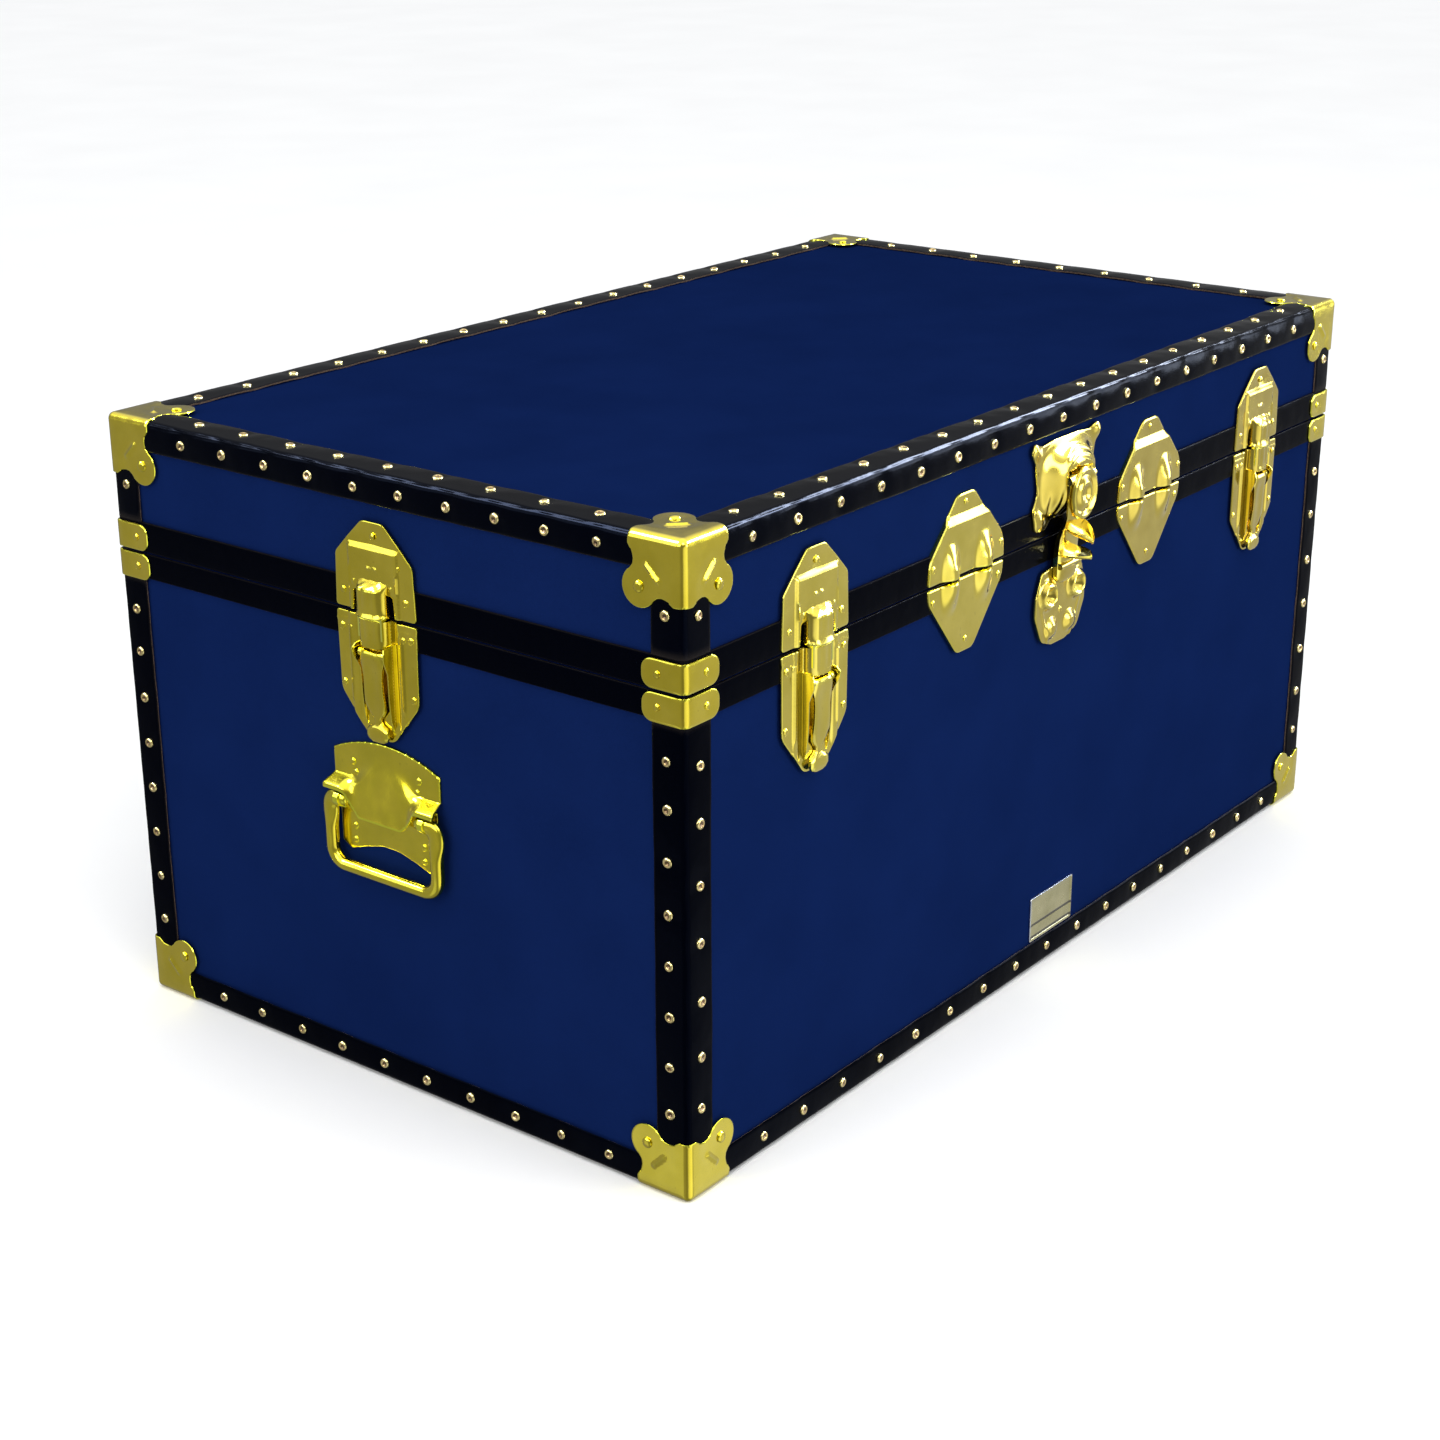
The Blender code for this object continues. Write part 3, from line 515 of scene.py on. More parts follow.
def covering():
    """Dark blue covering cloth: fine grain and faint mottling."""
    n = new_material("blue_covering")
    colour = n.mix(n.ramp(n.noise(14, 5), 0.3, 0.7), (0.0030, 0.0100, 0.055), (0.0036, 0.0118, 0.064))
    flecks = n.ramp(n.noise(1300, 2), 0.62, 0.8, 0.0, 0.3)
    colour = n.mix(flecks, colour, (0.006, 0.019, 0.082))
    threads = {0: n.noise(1500, 2, (1, 1, 0.35)), 1: n.noise(1500, 2, (0.35, 0.35, 1))}
    weave = n.add("Math", threads, operation="ADD").outputs["Value"]
    bumps = ((n.noise(22, 3), 0.0009, 1.0), (weave, 0.00012, 0.6))
    return n.surface(colour, n.ramp(n.noise(60, 4), 0.3, 0.7, 0.5, 0.62), bumps, Specular_IOR_Level=0.0)


def fibre(name, sheen):
    """Black vulcanised fibre: hard, a little glossy, with slow waves and fine scuffs."""
    n = new_material(name)
    scuffs = n.ramp(n.noise(420, 4, (1, 1, 1), 0.65), 0.62, 0.78, 0.0, 0.5)
    colour = n.mix(scuffs, (0.0002, 0.0004, 0.0016), (0.0018, 0.0020, 0.0036))
    colour = n.mix(n.edges(), colour, (0.012, 0.010, 0.009))
    roughness = n.ramp(n.noise(90, 4), 0.3, 0.7, 0.11, 0.2)
    bumps = ((n.noise(40, 2), 0.0007, 1.0), (n.noise(800, 3), 0.00003, 1.0))
    return n.surface(colour, roughness, bumps, Specular_IOR_Level=sheen, Specular_Tint=(0.40, 0.54, 1.0))


def raw_edge():
    """The cut edge of fibre sheet, where its brown layers show."""
    n = new_material("fibre_cut_edge")
    colour = n.mix(n.ramp(n.noise(700, 3), 0.35, 0.7), (0.16, 0.09, 0.05), (0.42, 0.30, 0.20))
    roughness = n.ramp(n.noise(300, 3), 0.3, 0.7, 0.5, 0.7)
    return n.surface(colour, roughness, [(n.noise(900, 3), 0.0001, 1.0)])


def lining():
    """Cream lining paper over the boards, with a fine laid grain."""
    n = new_material("lining_paper")
    colour = n.mix(n.ramp(n.noise(9, 5), 0.3, 0.7), (0.50, 0.43, 0.32), (0.62, 0.56, 0.44))
    roughness = n.ramp(n.noise(80, 3), 0.3, 0.7, 0.75, 0.9)
    return n.surface(colour, roughness, [(n.noise(900, 2, (1, 1, 0.15)), 0.0001, 1.0)])


def floor_material():
    n = new_material("floor_paper")
    tone = n.ramp(n.noise(3, 3), 0.3, 0.7)
    return n.surface(n.mix(tone, (0.93, 0.93, 0.93), (0.96, 0.96, 0.96)), 0.9)


COVERING = covering()
FIBRE_MAT = fibre("black_fibre", 0.025)
LID_FIBRE = fibre("lid_fibre", 0.05)
CUT_EDGE = raw_edge()
LINING = lining()
BRASS = brass("brassed_steel", (0.92, 0.75, 0.11), (0.80, 0.65, 0.06))
# A darker, warmer copy of the brass: painted shade that dims the lock and the right-hand catch and locating
# plates, along with a warmer tone
SHADED_WARM_BRASS = brass("shaded_warm_brass", (0.83, 0.655, 0.10), (0.69, 0.53, 0.055))
CORNER_BRASS = brass("corner_brass", (0.92, 0.74, 0.045), (0.80, 0.64, 0.02))
HANDLE_BRASS = brass("handle_brass", (0.92, 0.765, 0.03), (0.80, 0.68, 0.015), 0.19)
HINGE_BRASS = brass("hinge_brass", (0.88, 0.70, 0.16), (0.72, 0.57, 0.09))
NAIL_GOLD = brass("nail_gold", (0.98, 0.74, 0.32), (0.70, 0.48, 0.16), 0.22)
# The nails' struck wells take a dark brown metal: painted shade in the hollow of each head
NAIL_GOLD_AND_WELL_SHADE = (NAIL_GOLD, brass("nail_well_painted_shade", (0.22, 0.13, 0.05), (0.12, 0.07, 0.03), 0.4))
LABEL_METALS_AND_RIM_HIGHLIGHT = (
    brass("label_gold", (0.74, 0.68, 0.36), (0.50, 0.46, 0.20), 0.24),
    # a pale blue-white rim: painted highlight along the label's edge
    brass("label_rim_painted_highlight", (0.75, 0.85, 1.0), (0.60, 0.70, 0.90), 0.2),
    brass("label_line", (0.12, 0.11, 0.07), (0.07, 0.06, 0.04), 0.4),
)


# Nails


def nail_mesh(radius, out, well=0.0):
    """A domed nail head on the level it is driven to, with a struck well if it has one."""
    profile = [(radius * 0.9, -0.4), (radius, 0.05), (radius * 0.99, 0.45)]
    for t in np.linspace(0.15, 1.0, 8):
        profile.append((radius * math.cos(t * 1.45), out * math.sin(t * 1.45) ** 0.8))
    mesh = turned(profile, 16)
    aside = Vector((0.45, -0.35)) * MM
    for vertex in mesh.vertices:
        gap = (Vector((vertex.co.x, vertex.co.z)) - aside).length / MM
        vertex.co.y += well * math.exp(-((gap / 1.9) ** 2)) * MM
    # faces in the well take the second material, the dark brown painted shade
    for polygon in mesh.polygons:
        gap = (Vector((polygon.center.x, polygon.center.z)) - aside).length / MM
        if well and gap < 1.75 and polygon.center.y < 0:
            polygon.material_index = 1
    return mesh


NAIL = nail_mesh(4.0, 1.7)
STRUCK_NAIL = nail_mesh(3.8, 2.4, 2.1)
SMALL_NAIL = nail_mesh(2.6, 1.2)
RNG = random.Random(SEED)
FULL_TURN = 6.28


def nails(spots, level, mesh=SMALL_NAIL):
    """Nail heads at (x, z) spots in mm on the front, each a little off and tilted."""
    made = []
    for x, z in spots:
        tilt = Matrix.Rotation(RNG.uniform(-0.12, 0.12), 4, "X")
        tilt = tilt @ Matrix.Rotation(RNG.uniform(-0.12, 0.12), 4, "Z")
        turn = Matrix.Rotation(RNG.uniform(0, FULL_TURN), 4, "Y")
        size = Matrix.Scale(RNG.uniform(0.93, 1.06), 4)
        shift = (x + RNG.uniform(-0.5, 0.5), -level, z + RNG.uniform(-0.5, 0.5))
        made.append(moved(mesh, Matrix.Translation(Vector(shift) * MM) @ tilt @ turn @ size))
    return made


# Binding

SHORT = 10  # mm by which a strip stops short of the box corner, under the bracket
POST_GAP, BAND_GAP = 0.4 * MM, 0.3 * MM

# How far a row of nails is from its edge, in mm
EDGE_ROW, POST_ROW, LID_ROW = 12.5, 14.5, 16.5


def row(first, last, count):
    return list(np.linspace(first, last, count))


# Where the nails are: from a face's left end, or for the posts up from the bottom, in mm
TOP_NAILS = dict(zip(FACES, (row(70, 834, 17), row(78, 466, 10), row(80, 844, 17), row(78, 466, 10))))
BOTTOM_NAILS = dict(zip(FACES, 2 * (row(84, 844, 17), row(78, 466, 10))))
LID_NAILS = dict(zip(FACES, 2 * (row(72, 842, 17), row(80, 455, 9))))
LONG_POST = [66, 104, 144.5, 188, 229, 272.5, 311.5]
END_POST = [62, 98, 135, 172, 209, 246, 283, 316]
POST_NAILS = dict(zip(FACES, 2 * (LONG_POST, END_POST)))
LID_POST_NAIL = 412.5

# How a strip made for a face's top edge is turned, to lie along the bottom or stand at the left
UPSIDE_DOWN = Matrix.Diagonal((1, 1, -1, 1))
UPRIGHT = Matrix.Rotation(math.radians(-90), 4, "Y")


def face_span(face):
    """The length of a face, left to right as seen from outside, in mm."""
    return 2 * (HALF_LENGTH if face in ("front", "back") else HALF_WIDTH) / MM


def folded_profile(leg_a, leg_b):
    """Points across a binding strip: distance along leg a (negative) and leg b (positive)."""
    flat_a = -np.array([leg_a, leg_a - 0.5, leg_a - 1.4, leg_a - 3, leg_a * 0.66, leg_a * 0.45])
    flat_b = np.array([leg_b * 0.45, leg_b * 0.66, leg_b - 3, leg_b - 1.4, leg_b - 0.5, leg_b])
    return np.concatenate([flat_a, np.linspace(-FOLD, FOLD, 13), flat_b])


def strip(length, leg_a, leg_b, spots, seed, puff=0.5):
    """Fibre folded round an edge: along X, leg a in the XZ plane down, leg b back along +Y.

    The outer corner line is the local X axis. The faces stand up by puff, and nails pull them
    in a little at spots (along, across).
    """
    phase_a, phase_b = np.random.default_rng(seed).uniform(0, FULL_TURN, 2)
    rings = []
    for x in np.linspace(0, length, max(12, int(length / 4))):
        wave = 0.16 * math.sin(x / 31 + phase_a) + 0.10 * math.sin(x / 13 + phase_b)
        ring = []
        for t in folded_profile(leg_a, leg_b):
            sharp = np.array((max(-t, 0), max(t, 0)))
            centre = np.maximum(sharp, FOLD)
            out = (sharp - centre) / np.linalg.norm(sharp - centre)
            leg = leg_a if t < 0 else leg_b
            drop = 0.7 * max(0, 1 - (leg - abs(t)) / 1.6) ** 2
            crown = puff * math.sin(math.pi * min(1, abs(t) / leg)) + wave * min(1, abs(t) / 12)
            crown += 0.8 * puff * max(0, abs(t) - FOLD) / leg
            pull = 0
            for spot_x, spot_t in spots:
                if spot_t * t > 0:
                    gap = math.hypot((x - spot_x) / 8.5, (t - spot_t) / 11)
                    pull = max(pull, (0.3 + 0.9 * puff) * math.exp(-(gap**2)))
            at = centre + out * (FOLD + crown - drop - pull)
            ring.append((x, at[1], -at[0]))
        rings.append(ring)
    size = len(rings[0])
    faces = []
    for i in range(len(rings) - 1):
        for near in range(i * size, (i + 1) * size - 1):
            faces.append((near + size, near + size + 1, near + 1, near))
    mesh = bpy.data.meshes.new("strip")
    mesh.from_pydata(np.concatenate(rings) * MM, [], faces)
    mesh.materials.append(FIBRE_MAT)
    mesh.materials.append(CUT_EDGE)
    return solid(mesh, FIBRE, 1)


def bindings():
    """The strips along the top and bottom of each face and up its left end."""
    base, lid = [], []
    for seed, face in enumerate(FACES, STRIP_SEED):
        end = -face_span(face) / 2 * MM
        start, length = end + SHORT * MM, face_span(face) - 2 * SHORT
        spots = [(x - SHORT, -EDGE_ROW) for x in TOP_NAILS[face]]
        spots += [(x - SHORT, LID_ROW) for x in LID_NAILS[face]]
        top = strip(length, TOP_LEG, LEG, spots, seed, 0.9)
        lid.append(moved(top, on_face(face, start, TOP)))
        spots = [(x - SHORT, -EDGE_ROW) for x in BOTTOM_NAILS[face]]
        bottom = strip(length, BOTTOM_LEG, LEG, spots, seed + 20)
        base.append(moved(bottom, on_face(face, start, BOTTOM) @ UPSIDE_DOWN))
        # leg a of an upright strip lies on this face, and leg b on the one to its left
        low, high = BOTTOM + BOTTOM_LEG * MM + POST_GAP, BAND_LOW.z - BAND_GAP
        spots = [(z - (low - BOTTOM) / MM, -POST_ROW) for z in POST_NAILS[face]]
        spots += [(z - (low - BOTTOM) / MM, POST_ROW) for z in POST_NAILS[FACES[FACES.index(face) - 1]]]
        post = strip((high - low) / MM, LEG, LEG, spots, seed + 40)
        base.append(moved(post, on_face(face, end, low) @ UPRIGHT))
        low, high = LID_BAND_HIGH.z + BAND_GAP, TOP - TOP_LEG * MM - POST_GAP
        spots = [(LID_POST_NAIL - (low - BOTTOM) / MM, side * POST_ROW) for side in (-1, 1)]
        post = strip((high - low) / MM, LEG, LEG, spots, seed + 60)
        lid.append(moved(post, on_face(face, end, low) @ UPRIGHT))
    for body, meshes, metal in (("base", base, FIBRE_MAT), ("lid", lid, LID_FIBRE)):
        node = f"{body}_edge_binding"
        piece(f"{body}_binding", joined(meshes), body, (metal, CUT_EDGE), [node], angle=50)


def band_mesh(low, high):
    """A closure band round the box: a ring with a softly crowned face."""
    height = (high - low) / MM
    profile = [(-2, 0.2), (-0.5, 0.0), (-0.12, 0.25), (0.0, 0.8), (0.12, height * 0.3)]
    profile += [(0.16, height * 0.5), (0.12, height * 0.7), (0.0, height - 0.8)]
    profile += [(-0.12, height - 0.25), (-0.5, height), (-2, height - 0.2)]
    straight = np.array((HALF_LENGTH, HALF_WIDTH)) / MM - FOLD
    centres = [straight * signs for signs in ((1, 1), (-1, 1), (-1, -1), (1, -1))]
    stops = []
    for turn, centre in enumerate(centres):
        stops += [(centre, math.radians(90 * turn + a)) for a in np.linspace(0, 90, 7)]
        run = centres[(turn + 1) % 4] - centre
        steps = int(np.linalg.norm(run) / 12)
        stops += [(centre + run * s / steps, stops[-1][1]) for s in range(1, steps)]
    rings = []
    for i, (centre, angle) in enumerate(stops):
        wave = 0.12 * math.sin(i * 0.37) + 0.08 * math.sin(i * 0.91 + 1)
        ring = []
        for out, z in profile:
            reach = FOLD + out + (wave if out > -1.5 else 0)
            x, y = centre[0] + reach * math.cos(angle), centre[1] + reach * math.sin(angle)
            ring.append((x + MIDDLE.x / MM, y + MIDDLE.y / MM, z + low / MM))
        rings.append(ring)
    return loft(rings, closed=True)


def closure_bands():
    for body, low, high in (("base", BAND_LOW, BAND_HIGH), ("lid", LID_BAND_LOW, LID_BAND_HIGH)):
        band = band_mesh(low.z, high.z)
        piece(f"{body}_band", band, body, FIBRE_MAT, [f"{body}_closure_band"])


def binding_nails():
    for face in FACES:
        half = face_span(face) / 2
        base = [(x - half, BOTTOM / MM + EDGE_ROW) for x in BOTTOM_NAILS[face]]
        base += [(s * (half - POST_ROW), z + BOTTOM / MM) for s in (-1, 1) for z in POST_NAILS[face]]
        lid = [(x - half, TOP / MM - EDGE_ROW) for x in TOP_NAILS[face]]
        lid += pairs((half - POST_ROW, LID_POST_NAIL + BOTTOM / MM))
        flat = [(x - half, 0) for x in LID_NAILS[face]]
        place = on_face(face)
        lie_back = Matrix.Translation((0, LID_ROW * MM, TOP)) @ Matrix.Rotation(math.radians(-90), 4, "X")
        for name, body, spots, at in (
            ("base_nails", "base", base, place),
            ("lid_nails", "lid", lid, place),
            ("lid_top_nails", "lid", flat, place @ lie_back),
        ):
            mesh = joined(nails(spots, 0.0, STRUCK_NAIL))
            piece(f"{name}_{face}", mesh, body, NAIL_GOLD_AND_WELL_SHADE, place=at)


# Corner brackets and seam clamps

CORNERS = {"front_left": (-1, -1), "front_right": (1, -1), "back_right": (1, 1), "back_left": (-1, 1)}
STAND = 1.3 * MM  # how far the corner pieces stand out of the binding
CORNER_FOLD = 5.0
LOBE = (36, 36)  # mm, the middle of a bracket's lobe, where its nail is
CLAMP_HALF, CLAMP_NAIL, CLAMP_STEP = 10.2, 22.5, 11.25 * MM


def corner_fold(points):
    """Points on sharp faces meeting at the origin, and their outward normals, once rounded."""
    centre = np.maximum(points, CORNER_FOLD)
    out = points - centre
    out /= np.linalg.norm(out, axis=1)[:, None]
    return centre + out * CORNER_FOLD, out


def folded_sheet(parts, faces):
    """A sheet 1 mm thick whose parts, all with the same faces, meet at its folds."""
    bm = bmesh.new()
    for points in parts:
        add_faces(bm, points * MM, faces)
    bmesh.ops.remove_doubles(bm, verts=bm.verts, dist=2e-6)
    return solid(finished(bm), 1.0)


def bracket_mesh(flat_bottom):
    """A bracket with its outer corner at the origin, reaching to +X, +Y and +Z."""
    nib = rounded([(44.5, 0, 0), (44.8, 8.5, 3), (41.5, 13.5, 4)])[:-1]
    half = [*nib, (41, 15), (40.6, 18), (41.2, 21.5)]
    outline = [(0, 0), *half, *arc(LOBE, 13.8, -58, 148, 16), *[(z, x) for x, z in reversed(half)]]

    def is_fold(a, b):
        return (a[0] < 1e-6 and b[0] < 1e-6) or (a[1] < 1e-6 and b[1] < 1e-6)

    neck = [(33, 17), (28.5, 21.5), (21.5, 28.5), (17, 33)]
    lines = [(a, b, 1.6) for a, b in zip(neck, neck[1:])]
    flat, faces, _, rim_distance = filled(outline, 1.3, is_fold, 0.7, lines)
    u, v = flat.T
    lobe = np.hypot(u - LOBE[0], v - LOBE[1])
    # a ridge across the neck of the lobe, where the sheet was drawn round the corner
    ridge = 1.4 * bell((u + v - 50) / math.sqrt(2), 1.7) * fall(np.abs(u - v) / math.sqrt(2), 6.5, 9.5)
    swell = 0.5 * smooth(lobe, 16, 26) * smooth(np.minimum(u, v), 0, 12)
    edge = rim_drop(rim_distance, 0.7)
    relief = ridge - 0.35 * bell(lobe, 7.5) + swell - edge
    parts = []
    for turn in range(3):
        # the face at turn 0 is level: it is the underside of a bottom bracket
        at, out = corner_fold(np.roll(np.stack([u, v, 0 * u], 1), turn, axis=1))
        height = -edge if flat_bottom and turn == 0 else relief
        parts.append(at + out * height[:, None])
    return folded_sheet(parts, faces)


def clamp_mesh():
    """A seam clamp round an upright corner at the origin, reaching to +X and +Y."""
    half = CLAMP_HALF
    lower, upper = arc((27, -half + 8), 8, -90, 0, 8), arc((27, half - 8), 8, 0, 90, 8)
    outline = [(0, -half), *lower, *upper, (0, half)]

    def is_fold(a, b):
        return a[0] < 1e-6 and b[0] < 1e-6

    flat, faces, _, rim_distance = filled(outline, 1.3, is_fold, 0.8)
    u, v = flat.T
    bow = 0.5 * np.sqrt(np.maximum(0, 1 - (v / half) ** 2)) * smooth(u, 2, 9)
    height = bow - 0.5 * bell(np.hypot(u - CLAMP_NAIL, v), 6) - rim_drop(rim_distance, 0.8)
    parts = []
    for sharp in ((u, 0 * u), (0 * u, u)):
        at, out = corner_fold(np.stack(sharp, 1))
        parts.append(np.column_stack([at + out * height[:, None], v]))
    return folded_sheet(parts, faces)


def turned_nails(spot, mesh, turns):
    """A nail at a spot of a corner piece, on each of the faces that it can be turned to."""
    return [moved(nails([spot], 0.0, mesh)[0], turn) for turn in turns]


def corner_piece(name, node, meshes, body, signs, height, up=1):
    """A corner piece, mirrored into a corner of the box and standing STAND out of the binding."""
    x, y = signs
    at = (MIDDLE.x + x * (HALF_LENGTH + STAND), MIDDLE.y + y * (HALF_WIDTH + STAND), height)
    place = Matrix.Translation(at) @ Matrix.Diagonal((-x, -y, up, 1))
    mesh = joined(meshes)
    if place.determinant() < 0:
        mesh.flip_normals()
    piece(name, mesh, body, CORNER_BRASS, [node], place)


def corner_hardware():
    clamp = clamp_mesh()
    brackets = {"lid": bracket_mesh(False), "base": bracket_mesh(True)}
    spins = [Matrix.Rotation(math.radians(120 * turn), 4, Vector((1, 1, 1))) for turn in range(3)]
    swap = Matrix(((0, 1, 0, 0), (1, 0, 0, 0), (0, 0, 1, 0), (0, 0, 0, 1)))
    # a base bracket has no nail underneath
    levels = (("lid", TOP + STAND, -1, spins), ("base", BOTTOM - STAND, 1, spins[::2]))
    for name, signs in CORNERS.items():
        for body, height, up, nailed in levels:
            meshes = [brackets[body], *turned_nails(LOBE, NAIL, nailed)]
            corner_piece(f"{body}_corner_{name}", f"{body}_bracket_{name}", meshes, body, signs, height, up)
        for body, height in (("lid", SEAM + CLAMP_STEP), ("base", SEAM - CLAMP_STEP)):
            meshes = [clamp, *turned_nails((CLAMP_NAIL, 0), SMALL_NAIL, (AS_MADE, swap))]
            corner_piece(f"{body}_seam_clamp_{name}", f"{body}_clamp_{name}", meshes, body, signs, height)


# Catches. Heights are from the seam.

HOOD_POWER, HOOD_BACK = 2.8, 1.2
CATCHES = {
    "front_left": ("front", -319, BRASS),
    # the right catch is in the darker brass copy, as painted shade
    "front_right": ("front", 319, SHADED_WARM_BRASS),
    "left_end": ("left", 0, CORNER_BRASS),
    "right_end": ("right", 0, BRASS),
}


def hood_ring(half_width, depth, z, flute=0.0, sag=0.0):
    """A ring at height z: flat at the back, and a superellipse bulging out of the face."""
    ring = []
    for a in np.linspace(math.pi, 0, 28):
        c, s = math.cos(a), math.sin(a)
        x = half_width * math.copysign(abs(c) ** (2 / HOOD_POWER), c)
        out = HOOD_BACK + (depth - HOOD_BACK) * abs(s) ** (2 / HOOD_POWER)
        out += flute * math.cos(0.78 * x + 0.5) * abs(s)
        ring.append((x, -out, z - sag * (1 - (x / half_width) ** 2)))
    return ring


def strike_height(x, z):
    """The lid half's plate: a raised field below a crease, with a short rib on each side."""
    side = np.abs(x)
    field = 1.7 * fall(z, 47, 50) * fall(side, 21.8, 24.6)
    rib = 0.7 * bell(side - 22.3, 1.1) * smooth(z, 18, 21) * fall(z, 31, 34)
    dash = 0.8 * bell(z - 34 - 0.6 * np.sin(x * 0.9), 0.8) * fall(side, 4.5, 6.5)
    tip = 0.8 * bell(z - 55.9, 5) * bell(x, 9)
    blister = bell(side - 17.5, 1.7) * bell(z - 22, 1.7)
    return field + rib + dash + blister - tip


def strike_meshes():
    outline = symmetric(
        (10, 66.5, 8), (24, 53, 10), (36.5, 40, 7), (38, 1.2, 3),
        (19.6, 1.2, 1.5), (18.4, 16.5, 2.5), (12.5, 17.2, 1), (12.5, 1.2, 0),
    )
    lines = both_sides(((22.3, 18), (22.3, 36), 1.2), ((24.6, 2), (24.6, 46), 0.4))
    lines.append(((-23, 48.5), (23, 48.5), 1.5))
    body = stamped(outline, strike_height, rim=1.0, creases=lines)
    mouth = ((1.0, 13.4, 9.4), (1.4, 14.3, 11.2), (2.4, 14.5, 11.7), (3.4, 13.9, 11.2))
    rings = [hood_ring(wide, out, z, 0, 1.3) for z, wide, out in mouth]
    for z, flute in ((4.6, 0.1), (8, 0.3), (12, 0.42), (16, 0.42), (19, 0.3)):
        rings.append(hood_ring(13.5, 10.4, z, flute))
    for t in np.linspace(0, 1, 9)[1:]:
        rings.append(hood_ring(13.5 + 1.2 * t, 10.6 - 8.7 * t**1.3, 19.5 + 6.8 * t, 0.55 * math.sin(t * 9)))
    return [body, loft(rings), *nails([*pairs((21.6, 37.5), (29.7, 14.0)), (0, 56.5)], 1.4)]


def catch_plate_height(x, z):
    """The base half's plate: a flat border, a ridge, a shelf and a sunk channel on each side."""
    side = np.abs(x)
    shelf = 0.7 * fall(side, 24.5, 26.5) * smooth(z, -88, -80)
    ridge = 1.1 * bell(side - 24.3, 1.0) * smooth(z, -70, -60) * fall(z, -14, -9)
    channel = 1.5 * smooth(side, 12, 13) * fall(side, 17.5, 20.5) * smooth(z, -84, -74)
    return shelf + ridge + 0.5 * bell(z + 8, 1.6) * smooth(side, 20, 23) - channel


def catch_plate_meshes():
    lines = both_sides(((24.3, -9), (24.3, -70), 1.1), ((19.0, -3), (19.0, -80), 1.5))
    outline = symmetric((38, -1.4, 2.5), (37.2, -60, 12), (12, -91, 10))
    body = stamped(outline, catch_plate_height, rim=1.0, creases=lines)
    rings = []
    for z, flute in ((-1.4, 0.0), (-2.2, 0.25), (-6, 0.4), (-10, 0.45), (-14, 0.4), (-17, 0.2)):
        rings.append(hood_ring(13.0, 9.3, z, flute))
    for t in np.linspace(0, 1, 5)[1:]:
        rings.append(hood_ring(13.0 - 0.6 * t, 9.3 + 0.5 * t, -17 - 3.2 * t, 0, 0.9 * t))
    # the side walls that the lever turns between: out, z, lean
    profile = [
        (1.2, -19, 0.0), (9.3, -20, 0.6), (11.4, -24.0, 2.4), (11.0, -28.5, 1.8), (8.2, -34, 0.7),
        (6.0, -39, 0.2), (5.4, -60, 0.0), (4.2, -74, 0.0), (1.2, -84, 0.0),
    ]
    walls = []
    for side in (-1, 1):
        walls.append(loft([
            [(side * x + side * lean, -out, z) for out, z, lean in profile] for x in (12.3, 13.3)
        ]))
    return [body, loft(rings), *walls, *nails(pairs((33, -12.5), (25, -12.5), (33, -55)), 1.5)]


def lever_meshes():
    """The lever, its hub, and the finger tab it ends in."""
    # z, half width, back, front, scoop
    stations = [
        (-23.3, 10.4, 5.0, 6.0, 0.0), (-23.7, 11.0, 4.2, 7.6, 0.0), (-24.4, 11.4, 3.2, 9.0, 0.0),
        (-26.5, 11.5, 2.6, 9.9, 0.0), (-29.0, 11.5, 3.4, 10.1, 0.4), (-33.0, 10.9, 5.0, 10.0, 1.1),
        (-37.0, 9.5, 5.6, 9.6, 1.5), (-44.0, 8.6, 5.8, 9.2, 1.6), (-54.0, 8.8, 5.6, 9.0, 1.6),
        (-62.0, 9.3, 4.8, 8.4, 1.3), (-68.0, 8.2, 3.8, 7.2, 0.8), (-71.5, 5.8, 3.2, 6.2, 0.3),
        (-74.0, 3.6, 2.8, 5.6, 0.0), (-76.5, 2.9, 2.7, 5.2, 0.0), (-78.5, 4.4, 2.8, 5.6, 0.0),
        (-80.3, 8.0, 3.1, 6.3, 0.0), (-83.0, 10.0, 3.4, 7.4, 0.3), (-87.0, 10.3, 3.6, 7.6, 0.5),
        (-89.6, 8.8, 3.8, 7.0, 0.2), (-91.4, 5.4, 4.2, 6.0, 0.0),
    ]
    bow = 1 - ACROSS**2
    rings = []
    for z, half, back, front, scoop in stations:
        face = front - scoop * bow**0.7 - 0.4 * (front - back) * np.abs(ACROSS) ** 5
        rings.append(bar_ring(half, (face, z), (back + 0.15 * bow, z), 0.985))
    return [loft(rings), roller(centred(12.2), 3.2, 5.6, -26.5)]


def catches():
    strike, plate, lever = joined(strike_meshes()), joined(catch_plate_meshes()), joined(lever_meshes())
    for name, (face, along, lit_or_shaded_brass) in CATCHES.items():
        place = on_face(face, along * MM, SEAM)
        for part, mesh, body, edge in (
            ("strike", strike, "lid", 0.25),
            ("plate", plate, "base", 0.25),
            ("lever", lever, f"lever_{name}", 0.3),
        ):
            node = f"catch_{name}_{part}"
            piece(f"{name}_{part}", mesh, body, lit_or_shaded_brass, [node], place, edge)


# Locating plates


def bulges(x, z):
    """Two long swellings side by side, blending softly into the plate."""
    total = np.zeros(len(x))
    for side in (-1, 1):
        across, along = np.abs(x - side * 22) / 13.5, np.abs(z - 1) / 30
        total += 5.6 * fall((across**2.3 + along**2.6) ** 0.42, 0.12, 1.0)
    return total


def dowel_lid_height(x, z):
    """The upper plate steps out over the band, and a nook is struck in each swelling."""
    nook = 0.5 * bell(np.hypot(np.abs(x) - 20, (z - 13) * 0.9), 3.6)
    return bulges(x, z) + 2.6 * fall(z, 39.5, 46.5) - nook


